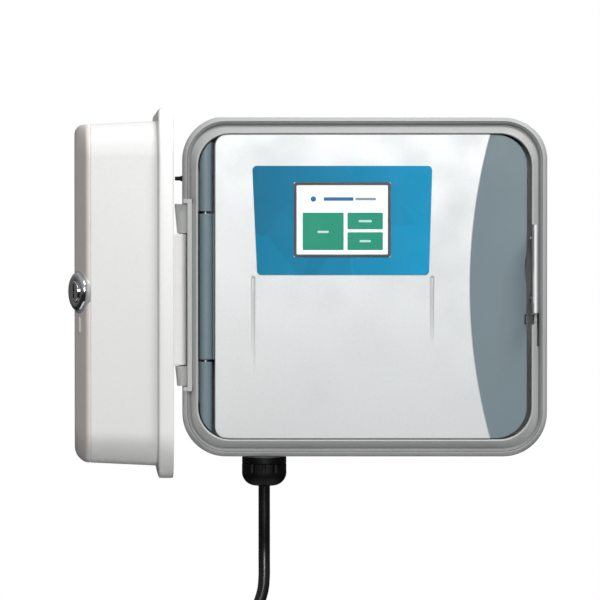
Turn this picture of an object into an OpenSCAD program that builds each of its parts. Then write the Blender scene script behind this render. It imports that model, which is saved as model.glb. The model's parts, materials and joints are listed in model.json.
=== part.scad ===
// Wall-mounted irrigation controller in a plastic cabinet, with a locking
// outer door and a swing-out control panel. Millimetres, +Z up, +Y into the
// wall. The origin is the centre of the cabinet's back face.

/* [Cabinet] */
// Width of the cabinet
cab_w = 250; // [246:1:256]
// Height of the cabinet
cab_h = 233; // [230:1:238]
// Depth of the cabinet without its door
cab_d = 47; // [47:1:50]
// Corner radius of the cabinet
cab_r = 30; // [26:1:34]
// Wall thickness of the cabinet
wall = 3; // [2.5:0.1:3.2]
// Width of the opening inside the rim
open_w = 228; // [226:1:230]
// Height of the opening inside the rim
open_h = 210; // [209:1:212]

/* [Outer door] */
// How far the outer door stands open, in degrees
door_open = 87; // [60:1:110]
// Thickness of the door's flange
flange_t = 9.7; // [8.5:0.1:11]
// Depth of the door's side walls in front of the flange
door_wall_d = 42.3; // [38:0.1:44]
// Depth of the front cover's bevel
bevel_d = 10; // [8:0.5:11]
// Wall thickness of the door
door_t = 2.5; // [2:0.1:3]

/* [Control panel] */
// Width of the panel from the hinge strip to its free edge
panel_w = 214; // [212:1:214]
// Height of the panel
panel_h = 208; // [206:1:208]
// Depth of the panel frame
panel_d = 20.8; // [18:0.1:21]
// Width of the touch screen's bezel
screen_w = 66; // [64:1:68]
// Height of the touch screen's bezel
screen_h = 51; // [49:1:52]

/* [Cable] */
// Diameter of the power cord
cord_d = 8; // [7:0.1:8.2]
// Distance of the cable gland to the left of the middle
gland_off = 69; // [66:1:70]

/* [Hidden] */
$fn = 64;

eps = 0.5;              // overlap of a cutting shape past a face
rim_y = -cab_d;         // front plane of the cabinet's rim
back_in = -wall;        // inner face of the back wall
open_r = 22.5;          // corner radius of the rim's opening

// Groove and gasket in the rim
groove_off = 4.5;       // groove's outer edge from the cabinet's edge
groove_w = 1.7;
groove_depth = 2;

// Return wall behind the rim's lip
return_gap = 2.2;       // how far the lip stands in over the return wall
return_t = 2;
return_y = -38;         // rear edge of the return wall
return_in = open_w / 2 + return_gap;    // inner face of its right side

// Lock keeper, a plate on the right side behind the lip
keeper_t = 1.8;
keeper_y0 = -69;
keeper_y1 = -31;
keeper_z0 = -17.5;
keeper_z1 = 42.5;
rivet_z = [-8, 33];     // heights of its rivets
rivet_y = -36;
rivet_r = 1.6;

// Holes in the cabinet
conduits = [[-gland_off, 10.1], [-3, 11.1], [52, 14.1]];    // X and radius
screw_x = 88;           // wall screws, each side of the middle
screw_z = 94;
screw_r = 2.6;
keyhole_z = 84;
keyhole_r = 5;
keyhole_rise = 7;       // from the keyhole's centre to the top of its slot

// Outer door's hinge
door_gap = 0.5;                         // between the rim and the closed door
door_back = rim_y - door_gap;           // back plane of the closed door
hinge_x = -cab_w / 2 - 1;
hinge_y = door_back + 10;
knuckle_r = 4.3;
pin_r = 1.5;
knuckle_low = -54;                      // the door knuckle's ends
knuckle_high = 36;
lug_low = -68;                          // the hinge leaf's ends
lug_high = 52.5;
notch_low = lug_low - 0.5;              // the cabinet's hinge notch
notch_high = 57;
notch_x = hinge_x + knuckle_r + 0.5;

// Outer door
flange_front = door_back - flange_t;
seam_y = flange_front - door_wall_d;    // where the front cover meets the walls
door_face = seam_y - bevel_d;
wall_x = 120;                           // half width of the walls at the flange
wall_z = 108.5;                         // half height of the walls at the flange
draft = 2;                              // how much the walls draw in
door_r = 22;

// Lock, on the bevel of the door's free edge
bevel_x = wall_x - draft;               // the bevel's outer edge
bevel_angle = 24;
bevel_run = bevel_d / tan(bevel_angle);
lock_x = bevel_x - bevel_run / 2;
lock_y = seam_y - bevel_d / 2;
lock_z = 1.5;
cam_y = 34;                             // cam's front face behind the bevel
cam_t = 2;
cam_reach = 25.6;
barrel_r = 9.3;
plug_r = 6.8;

// Control panel
strip_w = 8.9;                          // width of the hinge strip
pivot_x = -108.9;
pivot_y = -41;
strip_r = strip_w / 2;
panel_l = -102.5;
panel_r = panel_l + panel_w - 0.5;
swing_r = 8;                            // corner radius on the hinge side, which swings past the lip
frame_y = -44.8;                        // the crescent's front face
frame_t = 2.2;
frame_back = frame_y + panel_d;
latch_y = frame_y + frame_t + 0.2;      // front face of the latch slide
face_y = -46.6;                         // the silver panel's front face
strip_half = 50;                        // half height of the moving strip
crescent_r = 393;                       // radius of the silver panel's free edge
crescent_x = 72;                        // that edge's place at mid height
screen_x = -15.4;
screen_z = 45.8;
board_y0 = -34;                         // main board's front and back
board_y1 = -32.4;
cover_y = -26;                          // rear cover's front face
cover_low = -52;
cover_high = 99;
post_points = [[-81, 90], [58, 90], [-74, -40], [58, -40]];
boss_points = [[-92, -47], [-92, 78], [100, -47], [100, 78], [4, 94], [4, -47]];
relief = [gland_off + 23, gland_off - 23, -36];     // cable relief: left, right, front

// Label under the screen: its corners in X and Z
label_points = [[-76.8, 82.6], [46, 82.6], [44, 8], [-73.7, 8]];

// Transformer
core_x0 = -87;
core_x1 = -41;
core_z0 = -88;
core_z1 = -68;
core_y0 = -37;
core_y1 = -4.2;
limb = 7;
leg_x0 = -71;
leg_x1 = -57;
foot_screws = [core_x0 - 6, core_x1 + 6];
foot_z0 = core_z0 + 6;                  // the bracket's feet start above the core's lower end
foot_z = (foot_z0 + core_z1) / 2;

// Terminal board
tb_x0 = -26;
tb_x1 = 102;
tb_z0 = -72;
tb_z1 = -22;
tb_y0 = -9;
tb_y1 = -7.4;
tb_holes = [[-22, -68], [98, -68], [-15, -26], [98, -26]];
pitch = 5.08;
block_rows = [-71, -36];                // each row's lower edge
block_ways = 6;
block_start = -12;
block_gap = 0.6;

// Cable gland and cord
gland_x = -gland_off;
gland_y = -23.5;
floor_z = -cab_h / 2;                   // underside of the cabinet
gland_end = floor_z - 21;
thread_r = 9.9;
lead_route = [
    [-69, -23.5, -137.5], [-69, -23.5, -150], [-69, -23.5, -165], [-69, -23.5, -180],
    [-69, -24.5, -190], [-69, -27, -200], [-70, -30, -210], [-73.5, -33.5, -220],
    [-78.5, -37, -230], [-85, -39.5, -240], [-92.5, -41, -250], [-100, -41.5, -260],
    [-106.5, -41.5, -270], [-111.5, -41.5, -280], [-115, -41.5, -290], [-116, -41.5, -300]
];
end_route = [
    [-111, -32.5, -265], [-119.5, -32.5, -278.5], [-123.8, -32.5, -289], [-125, -32.5, -300],
    [-125, -32.5, -312], [-125, -32.5, -325], [-125, -32.5, -338], [-125, -32.5, -352]
];
coil_x = -69;
coil_y0 = -45.5;
coil_y1 = -19.5;
coil_z = -300;
coil_in = 34;
coil_out = 51;
tie_out = 59;                           // the tie's outer side, round the leaving end too
plug_x = -125;
plug_y = -32.5;
plug_z = -352;

// Ribbon between the terminal board and the panel
ribbon_z0 = -42;
ribbon_z1 = -22;
ribbon_route = [
    [-24, -13], [-34, -9], [-60, -7.5], [-84, -8], [-95, -11], [-99, -16],
    [-97, -20.5], [-92.5, -23], [-88, -25.5], [-85, -29]
];

// ---------- helpers ----------

// Flat outline in X and Z, made into a slab between two Y values
module slab(y0, y1) {
    translate([0, y1, 0]) rotate([90, 0, 0]) linear_extrude(height = y1 - y0) children();
}

// Flat outline in Y and Z, made into a slab between two X values
module side_slab(x0, x1) {
    translate([x0, 0, 0]) rotate([90, 0, 90]) linear_extrude(height = x1 - x0) children();
}

// Flat outline in X and Y, made into a slab between two Z values
module plan_slab(z0, z1) {
    translate([0, 0, z0]) linear_extrude(height = z1 - z0) children();
}

module box(x0, x1, y0, y1, z0, z1) {
    translate([x0, y0, z0]) cube([x1 - x0, y1 - y0, z1 - z0]);
}

module rod_x(x0, x1, y, z, r) {
    translate([x0, y, z]) rotate([0, 90, 0]) cylinder(h = x1 - x0, r = r);
}

module rod_y(y0, y1, x, z, r) {
    translate([x, y1, z]) rotate([90, 0, 0]) cylinder(h = y1 - y0, r = r);
}

module rod_z(z0, z1, x, y, r) {
    translate([x, y, z0]) cylinder(h = z1 - z0, r = r);
}

module rounded(w, h, r) {
    square([w - 2 * r, h], center = true);
    square([w, h - 2 * r], center = true);
    for (x = [-1, 1], z = [-1, 1]) translate([x * (w / 2 - r), z * (h / 2 - r)]) circle(r);
}

module rounded_at(x0, x1, z0, z1, r) {
    translate([(x0 + x1) / 2, (z0 + z1) / 2]) rounded(x1 - x0, z1 - z0, r);
}

module ring(w, h, r, t) {
    difference() {
        rounded(w, h, r);
        rounded(w - 2 * t, h - 2 * t, r - t);
    }
}

// A round head with a cross recess, its axis along Y, its seat at y0
module pan_head(x, z, y0, r, h) {
    difference() {
        rod_y(y0, y0 + h, x, z, r);
        box(x - r * 0.6, x + r * 0.6, y0 + h * 0.5, y0 + h + 1, z - 0.4, z + 0.4);
        box(x - 0.4, x + 0.4, y0 + h * 0.5, y0 + h + 1, z - r * 0.6, z + r * 0.6);
    }
}

function unit(v) = v / norm(v);
function heading(p, i) = unit(p[min(i + 1, len(p) - 1)] - p[max(i - 1, 0)]);
function hoop(c, t, side, r, n) =
    let (u = unit(cross(t, side)), v = cross(t, u))
    [for (k = [0 : n - 1]) c + r * (cos(360 * k / n) * u + sin(360 * k / n) * v)];

// A round tube swept along a route
module tube(route, d, n, side = [0, 1, 0]) {
    last = len(route) - 1;
    points = [
        for (i = [0 : last])
            each hoop(route[i], heading(route, i), side, d / 2, n)
    ];
    walls = [
        for (i = [0 : last - 1], k = [0 : n - 1])
            let (a = i * n + k, b = i * n + (k + 1) % n)
            [a, a + n, b + n, b]
    ];
    start = [for (k = [0 : n - 1]) k];
    end = [for (k = [0 : n - 1]) last * n + n - 1 - k];
    polyhedron(points = points, faces = concat(walls, [start], [end]), convexity = 6);
}

// The door's own parts are drawn closed and then swung open
module swung_open() {
    translate([hinge_x, hinge_y, 0]) rotate([0, 0, -door_open]) {
        translate([-hinge_x, -hinge_y, 0]) children();
    }
}

// The lock's own frame: its Y axis runs inward, square to the bevel
module at_lock() {
    swung_open() translate([lock_x, lock_y, lock_z]) rotate([0, 0, bevel_angle]) children();
}

// ---------- cabinet ----------

module rim_opening() {
    rounded(open_w, open_h, open_r);
}

module conduit_holes() {
    for (c = conduits) rod_z(floor_z - eps, floor_z + wall + eps, c[0], gland_y, c[1]);
}

module wall_fixings() {
    for (x = [-screw_x, screw_x], z = [-screw_z, screw_z]) {
        rod_y(back_in - eps, eps, x, z, screw_r);
    }
    rod_y(back_in - eps, eps, 0, keyhole_z, keyhole_r);
    rod_y(back_in - eps, eps, 0, keyhole_z + keyhole_rise, screw_r);
    box(-screw_r, screw_r, back_in - eps, eps, keyhole_z, keyhole_z + keyhole_rise);
}

module hinge_pocket() {
    intersection() {
        box(-cab_w / 2, -118.2, rim_y, -29, notch_low - 3, notch_high + 3);
        slab(rim_y, 0) rounded(cab_w, cab_h, cab_r);
    }
}

module cabinet_shell() {
    color("gainsboro") {
        difference() {
            union() {
                difference() {
                    slab(rim_y, 0) rounded(cab_w, cab_h, cab_r);
                    slab(rim_y + wall, back_in) {
                        rounded(cab_w - 2 * wall, cab_h - 2 * wall, cab_r - wall);
                    }
                    slab(rim_y - eps, rim_y + wall + eps) rim_opening();
                }
                slab(rim_y + wall, return_y) {
                    ring(2 * (return_in + return_t), open_h + 2 * (return_gap + return_t),
                         open_r + return_gap + return_t, return_t);
                }
                hinge_pocket();
                box(return_in, return_in + return_t, rim_y + wall, keeper_y1 + 3,
                    keeper_z0 - 6.5, keeper_z1 + 5.5);
                for (p = tb_holes) rod_y(tb_y1, back_in, p[0], p[1], 3.2);
            }
            slab(rim_y - eps, rim_y + groove_depth) {
                ring(cab_w - 2 * groove_off, cab_h - 2 * groove_off,
                     cab_r - groove_off, groove_w);
            }
            box(-cab_w / 2 - eps, notch_x, rim_y - eps, -32, notch_low, notch_high);
            box(open_w / 2 - eps, return_in + 0.1, rim_y - eps, rim_y + wall + eps,
                keeper_z0 - 0.2, keeper_z1 + 0.2);
            box(open_w / 2 - eps, return_in + 1, rim_y - eps, rim_y + wall + eps,
                keeper_z0 - 8.5, keeper_z0 - 1.2);
            conduit_holes();
            wall_fixings();
            for (p = tb_holes) rod_y(tb_y1 - eps, back_in - 0.6, p[0], p[1], 1.25);
            for (x = foot_screws) rod_y(back_in - eps, back_in + 2, x, foot_z, 1.8);
            for (z = rivet_z) rod_x(return_in - 1, return_in + return_t + 1, rivet_y, z, rivet_r);
        }
        cabinet_knuckle(knuckle_high + 0.5, notch_high - 0.3);
        cabinet_knuckle(notch_low + 0.3, knuckle_low - 0.5);
    }
}

module cabinet_knuckle(z0, z1) {
    difference() {
        union() {
            rod_z(z0, z1, hinge_x, hinge_y, knuckle_r);
            box(hinge_x, notch_x + 1, hinge_y - knuckle_r + 0.4, hinge_y + knuckle_r, z0, z1);
        }
        rod_z(z0 - eps, z1 + eps, hinge_x, hinge_y, pin_r);
    }
}

module rim_gasket() {
    color("dimgray") slab(rim_y + 0.3, rim_y + groove_depth) {
        ring(cab_w - 2 * groove_off, cab_h - 2 * groove_off, cab_r - groove_off, groove_w);
    }
}

module door_hinge_pins() {
    color("silver") {
        rod_z(knuckle_high - 12, notch_high - 0.3, hinge_x, hinge_y, pin_r);
        rod_z(notch_low + 0.3, knuckle_low + 12, hinge_x, hinge_y, pin_r);
    }
}

module lock_keeper() {
    color("white") difference() {
        box(return_in - keeper_t, return_in, keeper_y0, keeper_y1, keeper_z0, keeper_z1);
        box(open_w / 2, return_in + 1, keeper_y0 + 2.6, keeper_y0 + 10, lock_z - 12, lock_z + 12);
        for (z = rivet_z) rod_x(open_w / 2, return_in + 1, rivet_y, z, rivet_r);
    }
}

module keeper_rivets() {
    color("silver") for (z = rivet_z) {
        rod_x(return_in - keeper_t, return_in + return_t, rivet_y, z, rivet_r);
        rod_x(return_in - keeper_t - 0.8, return_in - keeper_t, rivet_y, z, 3);
    }
}

// ---------- fixed hinge caps of the panel ----------

module cap_outline() {
    intersection() {
        rounded(open_w - 2, open_h - 2, open_r - 1);
        translate([pivot_x - strip_r, -open_h / 2]) square([strip_w, open_h]);
    }
}

module hinge_cap(low, high, pin_low, pin_high) {
    difference() {
        union() {
            intersection() {
                slab(pivot_y - strip_r, pivot_y + 6) cap_outline();
                box(-120, 0, rim_y, 0, low, high);
                plan_slab(low, high) {
                    translate([pivot_x, pivot_y]) circle(strip_r);
                    translate([pivot_x - strip_r, pivot_y]) square([strip_w - 0.3, 8]);
                }
            }
            box(-return_in, pivot_x, pivot_y + 1, pivot_y + 6, max(low, -80), min(high, 80));
        }
        rod_z(pin_low, pin_high, pivot_x, pivot_y, pin_r);
    }
}

module hinge_cap_top() {
    color("slategray") hinge_cap(strip_half + 1.5, 100, strip_half - 1, strip_half + 12);
}

module hinge_cap_bottom() {
    color("slategray") hinge_cap(-100, -strip_half - 1.5, -strip_half - 12, -strip_half + 1);
}

module panel_hinge_pins() {
    color("silver") {
        rod_z(strip_half - 10, strip_half + 12, pivot_x, pivot_y, pin_r);
        rod_z(-strip_half - 12, -strip_half + 10, pivot_x, pivot_y, pin_r);
    }
}

// ---------- cable gland and power cord ----------

module at_gland() {
    translate([gland_x, gland_y, 0]) children();
}

module gland_body() {
    color("black") at_gland() difference() {
        union() {
            translate([0, 0, floor_z - 1.2]) cylinder(h = wall + 11.2, r = thread_r);
            translate([0, 0, floor_z - 5.4]) cylinder(h = 4.2, r = 15.3);
            translate([0, 0, floor_z - 15]) cylinder(h = 10, r = 11);
        }
        translate([0, 0, floor_z - 16]) cylinder(h = 10, r = 7.6);
        translate([0, 0, floor_z - 16]) cylinder(h = 40, r = 5);
    }
}

module gland_washer() {
    color("dimgray") at_gland() difference() {
        translate([0, 0, floor_z - 1.2]) cylinder(h = 1.2, r = 14.6);
        translate([0, 0, floor_z - 2]) cylinder(h = 3, r = thread_r);
    }
}

module gland_locknut() {
    color("black") at_gland() difference() {
        translate([0, 0, floor_z + wall]) cylinder(h = 5, r = 15, $fn = 6);
        translate([0, 0, floor_z + wall - eps]) cylinder(h = 6, r = thread_r);
    }
}

module gland_seal() {
    color("dimgray") at_gland() difference() {
        translate([0, 0, floor_z - 17]) cylinder(h = 11, r = 7.5);
        translate([0, 0, floor_z - 18]) cylinder(h = 13, r = cord_d / 2);
    }
}

// The dome nut: straight ribbed sides and a rounded end
module gland_nut() {
    dome = 9.4;
    color("black") at_gland() difference() {
        rotate_extrude() difference() {
            union() {
                translate([0, gland_end + dome]) square([15.4, 6]);
                intersection() {
                    translate([6, gland_end + dome]) circle(dome);
                    translate([6, gland_end]) square([dome, dome]);
                }
                translate([0, gland_end]) square([6, dome]);
            }
            translate([0, gland_end - 1]) square([cord_d / 2 + 0.2, 22]);
            translate([0, gland_end + 4]) square([7.6, 14]);
            translate([0, gland_end + 6]) square([11.1, 14]);
        }
        for (a = [0 : 30 : 330]) rotate(a) {
            translate([16.2, 0, gland_end + dome]) cylinder(h = 7, r = 1.6);
        }
    }
}

module power_cord() {
    color("black") {
        tube(lead_route, cord_d, 10);
        tube(end_route, cord_d, 10);
    }
}

module cord_coil() {
    color("black") translate([coil_x, coil_y1, coil_z]) rotate([90, 0, 0]) {
        rotate_extrude() translate([coil_in, 0]) square([coil_out - coil_in, coil_y1 - coil_y0]);
    }
}

module cord_tie() {
    gap = 1.2;
    color("dimgray") difference() {
        box(coil_x - 6, coil_x + 6, coil_y0 - gap - 1, coil_y1 + gap + 1,
            coil_z + coil_in - gap - 2.2, coil_z + tie_out + 1);
        box(coil_x - 7, coil_x + 7, coil_y0 - gap, coil_y1 + gap,
            coil_z + coil_in - gap - 1.2, coil_z + tie_out);
    }
}

module plug_body() {
    color("black") translate([plug_x, plug_y, plug_z]) {
        translate([0, 0, -24]) cylinder(h = 24, r1 = 7.5, r2 = cord_d / 2);
        translate([0, 0, -52]) linear_extrude(height = 28) rounded(26, 21, 8);
    }
}

module plug_blades() {
    color("silver") translate([plug_x, plug_y, plug_z - 52]) {
        for (x = [-6.35, 6.35]) translate([x - 0.75, -6.3, -17]) cube([1.5, 6.3, 17]);
        translate([0, 6, -20]) cylinder(h = 20, r = 2.4);
    }
}

module cord_tail() {
    color("black") at_gland() translate([0, 0, gland_end]) cylinder(h = 35, r = cord_d / 2);
}

// ---------- inside the cabinet ----------

module mains_wires() {
    top = gland_end + 35;
    paths = [
        [[-71, -23, top], [-71, -23, top + 0.8], [-69.5, -20.5, -98.8], [-66, -17, -98],
         [-56, -12, -99.6], [-42, -8.6, -101.4], [-35, -8.6, -100], [-33, -9, -97]],
        [[-67, -22, top], [-67, -22, top + 0.8], [-64.5, -20, -100.4], [-59, -17, -101.6],
         [-50, -13, -104.5], [-34, -11, -105], [-27, -9.5, -102], [-25, -9, -97]],
        [[-68.5, -25.6, top], [-68.5, -25.6, top + 0.8], [-66, -25, -100.2], [-58, -22, -101.8],
         [-50, -19, -104.6], [-40, -16, -107.6], [-26, -14, -107], [-19, -10.5, -102.5],
         [-17, -9, -97]]
    ];
    colours = ["saddlebrown", "royalblue", "yellowgreen"];
    for (i = [0 : 2]) color(colours[i]) tube(paths[i], 2.4, 8);
}

module mains_block() {
    color("whitesmoke") difference() {
        box(-38, -12, -13, back_in, -97, -83);
        for (x = [-33, -25, -17]) {
            rod_y(-14, -9, x, -90, 2.2);
            rod_z(-98, -92, x, -9, 1.7);
        }
    }
}

module transformer_core() {
    color("dimgray") difference() {
        box(core_x0, core_x1, core_y0, core_y1, core_z0, core_z1);
        for (x = [core_x0 + limb, leg_x1]) {
            box(x, x + 9, core_y0 + limb, core_y1 - limb, core_z0 - eps, core_z1 + eps);
        }
    }
}

module transformer_winding() {
    color("goldenrod") difference() {
        slab(core_y0 + limb + 0.2, core_y1 - limb - 0.2) {
            rounded_at(core_x0 + limb + 0.4, core_x1 - limb - 0.4, core_z0 - 8.6, core_z1 + 8.6, 5);
        }
        box(leg_x0, leg_x1, core_y0, core_y1, core_z0, core_z1);
    }
}

module transformer_bracket() {
    t = 1;
    color("silver") difference() {
        union() {
            box(core_x0 - t, core_x1 + t, core_y0 - t, core_y0, core_z0, core_z1);
            box(core_x0 - t, core_x0, core_y0 - t, back_in, core_z0, core_z1);
            box(core_x1, core_x1 + t, core_y0 - t, back_in, core_z0, core_z1);
            box(core_x0 - 11, core_x0, back_in - t, back_in, foot_z0, core_z1);
            box(core_x1, core_x1 + 11, back_in - t, back_in, foot_z0, core_z1);
        }
        for (x = foot_screws) rod_y(back_in - 2, back_in + eps, x, foot_z, 2.1);
    }
}

module transformer_screws() {
    color("silver") for (x = foot_screws) {
        mirror([0, 1, 0]) pan_head(x, foot_z, -back_in + 1, 3.6, 2.4);
        rod_y(back_in - 1, back_in + 2, x, foot_z, 1.8);
    }
}

module secondary_wires() {
    for (i = [0, 1]) color(i == 0 ? "firebrick" : "black") tube([
        [-66 + 6 * i, -20, -59.4], [-65.5 + 6 * i, -20, -55], [-62 + 6 * i, -19, -51 - 3 * i],
        [-54 + 4 * i, -17, -49 - 3 * i], [-44, -14.5, -50 - 3 * i], [-35, -12.5, -54 - 3 * i],
        [-27, -11, -58 - 3 * i], [-22, -9.8, -60.5 - 3 * i]
    ], 2, 8);
}

module terminal_board() {
    color("darkgreen") difference() {
        slab(tb_y0, tb_y1) rounded_at(tb_x0, tb_x1, tb_z0, tb_z1, 2);
        for (p = tb_holes) rod_y(tb_y0 - 1, tb_y1 + 1, p[0], p[1], 1.6);
    }
}

module board_screws() {
    color("silver") for (p = tb_holes) {
        mirror([0, 1, 0]) pan_head(p[0], p[1], -tb_y0, 2.6, 1.8);
        rod_y(tb_y0, back_in - 1, p[0], p[1], 1.25);
    }
}

// One screw terminal block: a chamfered body with a wire entry per way
module terminal_block(x, z) {
    difference() {
        side_slab(x, x + block_ways * pitch) polygon([
            [tb_y0, z], [tb_y0 - 7, z], [tb_y0 - 10, z + 3],
            [tb_y0 - 10, z + 9], [tb_y0, z + 9]
        ]);
        for (i = [0 : block_ways - 1]) {
            box(x + (i + 0.2) * pitch, x + (i + 0.8) * pitch,
                tb_y0 - 4.6, tb_y0 - 1.4, z - 1, z + 3);
            rod_y(tb_y0 - 11, tb_y0 - 7, x + (i + 0.5) * pitch, z + 6, 1.9);
        }
    }
}

module terminal_blocks() {
    step = block_ways * pitch + block_gap;
    color("seagreen") for (z = block_rows, i = [0 : 2]) terminal_block(block_start + i * step, z);
}

module slotted_screw(x, z, y0, y1, r) {
    difference() {
        rod_y(y0, y1, x, z, r);
        box(x - r, x + r, y0 - 1, y0 + 0.8, z - 0.3, z + 0.3);
    }
}

module terminal_screws() {
    step = block_ways * pitch + block_gap;
    color("silver") {
        for (z = block_rows, i = [0 : 2], k = [0 : block_ways - 1]) {
            slotted_screw(block_start + i * step + (k + 0.5) * pitch, z + 6,
                          tb_y0 - 9, tb_y0 - 7, 1.7);
        }
        for (x = [-33, -25, -17]) slotted_screw(x, -90, -12, -9, 2);
    }
}

module station_drivers() {
    color("black") for (i = [0 : 11]) {
        box(-8 + i * 8.2, -4 + i * 8.2, tb_y0 - 3.4, tb_y0, -56, -52);
    }
}

module fuse_clips() {
    color("silver") for (x = [-20, -6]) difference() {
        box(x - 2, x + 2, tb_y0 - 7, tb_y0, -51.5, -44.5);
        rod_x(x - 3, x + 3, tb_y0 - 4.5, -48, 2.6);
        box(x - 3, x + 3, tb_y0 - 8, tb_y0 - 4.5, -50, -46);
    }
}

module fuse() {
    color("lightcyan") rod_x(-23, -3, tb_y0 - 4.5, -48, 2.5);
}

module ribbon_socket() {
    color("black") difference() {
        box(tb_x0 + 1, tb_x0 + 8, -16, tb_y0, ribbon_z0 - 2, ribbon_z1 - 0.2);
        box(tb_x0, tb_x0 + 4, -14.2, -11.8, ribbon_z0 - 0.3, ribbon_z1 - 0.6);
    }
}

module ribbon_cable() {
    half = 0.4;
    last = len(ribbon_route) - 1;
    normals = [
        for (i = [0 : last])
            let (h = unit(ribbon_route[min(i + 1, last)] - ribbon_route[max(i - 1, 0)]))
            [-h[1], h[0]]
    ];
    near = [for (i = [0 : last]) ribbon_route[i] + half * normals[i]];
    far = [for (i = [last : -1 : 0]) ribbon_route[i] - half * normals[i]];
    color("lightgray") plan_slab(ribbon_z0, ribbon_z1 - 0.8) polygon(concat(near, far));
}

// ---------- outer door ----------

// The outside of the door's drawn-in walls, less an inset
module wall_form(inset, y0, y1) {
    x = wall_x - inset;
    z = wall_z - inset;
    intersection() {
        slab(y0, y1) rounded(2 * x, 2 * z, door_r - inset);
        side_slab(-cab_w, cab_w) polygon([
            [flange_front, z], [seam_y, z - draft], [seam_y - 9, z - draft],
            [seam_y - 9, draft - z], [seam_y, draft - z],
            [flange_front, -z], [door_back, -z], [door_back, z]
        ]);
        plan_slab(-cab_h, cab_h) polygon([
            [x, flange_front], [x - draft, seam_y], [x - draft, seam_y - 9],
            [draft - x, seam_y - 9], [draft - x, seam_y],
            [-x, flange_front], [-x, door_back], [x, door_back]
        ]);
    }
}

module door_shell() {
    tongue = cab_w / 2 - groove_off - 0.2;
    color("whitesmoke") swung_open() difference() {
        union() {
            slab(flange_front, door_back) rounded(cab_w, cab_h, cab_r);
            wall_form(0, seam_y, flange_front + 1);
        }
        wall_form(door_t, seam_y - 1, flange_front + 3);
        difference() {
            slab(flange_front + 2.5, door_back + 1) {
                rounded(cab_w - 6, cab_h - 6, cab_r - 3);
            }
            slab(flange_front, door_back - 0.1) {
                ring(2 * tongue, cab_h - 2 * groove_off - 0.4, cab_r - groove_off, 1.5);
            }
        }
    }
}

// The solid shape of the front cover, less an inset
module front_form(inset) {
    round_top = 6;
    round_low = 9;
    x = wall_x - draft - inset;
    z = wall_z - draft - inset;
    face = door_face + inset;
    y = seam_y + (inset > 0 ? 1 : 0);
    slope = inset * tan(bevel_angle / 2);
    intersection() {
        wall_form(inset, door_face - 1, y);
        plan_slab(-cab_h, cab_h) {
            polygon([
                [-x, y], [-x, face + round_top], [round_top - x, face],
                [bevel_x - bevel_run - slope, face], [x, seam_y + slope], [x, y]
            ]);
            translate([round_top - x, face + round_top]) circle(round_top);
        }
        side_slab(-cab_w, cab_w) {
            translate([face + round_top, z - round_top]) circle(round_top);
            translate([face + round_low, round_low - z]) circle(round_low);
            polygon([
                [y, z], [face + round_top, z], [face, z - round_top],
                [face, round_low - z], [face + round_low, -z], [y, -z]
            ]);
        }
    }
}

module door_front() {
    color("lightgray") {
        difference() {
            swung_open() difference() {
                front_form(0);
                front_form(3);
            }
            at_lock() rod_y(-9, 9, 0, 0, barrel_r + 0.2);
        }
        at_lock() {
            box(-1.5, 1.5, -1.2, 0.8, -24.5, -17.5);
            for (z = [-24.5, -17.5]) rod_y(-1.2, 0.8, 0, z, 1.5);
        }
    }
}

module door_hinge_leaf() {
    inner = hinge_y - knuckle_r - 0.6;
    color("whitesmoke") swung_open() difference() {
        union() {
            side_slab(hinge_x - knuckle_r, hinge_x + knuckle_r) polygon([
                [door_back, lug_low], [door_back, lug_high], [inner, knuckle_high],
                [hinge_y, knuckle_high], [hinge_y, knuckle_low], [inner, knuckle_low]
            ]);
            rod_z(knuckle_low, knuckle_high, hinge_x, hinge_y, knuckle_r);
            box(hinge_x - knuckle_r, -cab_w / 2, flange_front, door_back, lug_low, lug_high);
        }
        rod_z(knuckle_low - 1, knuckle_high + 1, hinge_x, hinge_y, pin_r + 0.05);
    }
}

// ---------- lock ----------

module lock_bezel() {
    color("gainsboro") at_lock() difference() {
        rod_y(-2.5, 0, 0, 0, 14.5);
        rod_y(-4, 1, 0, 0, barrel_r);
    }
}

module lock_housing() {
    color("silver") at_lock() difference() {
        union() {
            rod_y(-6, -2.5, 0, 0, 12);
            rod_y(-2.5, 31, 0, 0, barrel_r);
        }
        rod_y(-7, 32, 0, 0, plug_r + 0.06);
    }
}

module lock_nut() {
    color("silver") at_lock() difference() {
        translate([0, 8, 0]) rotate([90, 30, 0]) cylinder(h = 4.9, r = 11.8, $fn = 6);
        rod_y(2, 9, 0, 0, barrel_r);
    }
}

module lock_plug() {
    color("gainsboro") at_lock() difference() {
        rod_y(-6.4, cam_y, 0, 0, plug_r);
        box(-1.1, 1.1, -7, 4, -4.4, 4.4);
    }
}

module lock_cam() {
    color("silver") at_lock() difference() {
        slab(cam_y, cam_y + cam_t) {
            circle(8);
            translate([-5, 4.6 - cam_reach]) square([10, cam_reach - 4.6]);
            translate([0, 5 - cam_reach]) circle(5);
        }
        rod_y(cam_y - 1, cam_y + cam_t + 1, 0, 0, 2.1);
    }
}

module cam_screw() {
    color("silver") at_lock() {
        pan_head(0, 0, cam_y + cam_t, 4, 2.4);
        rod_y(cam_y, cam_y + cam_t, 0, 0, 2.1);
    }
}

// ---------- control panel ----------

// The panel's outline, less an inset all round
module panel_outline(inset) {
    r = open_r - 1;
    intersection() {
        rounded_at(-114 + inset, panel_r - inset, inset - panel_h / 2, panel_h / 2 - inset,
                   r - inset);
        rounded_at(panel_l + inset, panel_r + 40, inset - panel_h / 2, panel_h / 2 - inset,
                   swing_r - inset);
    }
}

module screen_window(grow) {
    translate([screen_x, screen_z]) {
        square([screen_w - 2 + 2 * grow, screen_h - 2 + 2 * grow], center = true);
    }
}

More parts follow.
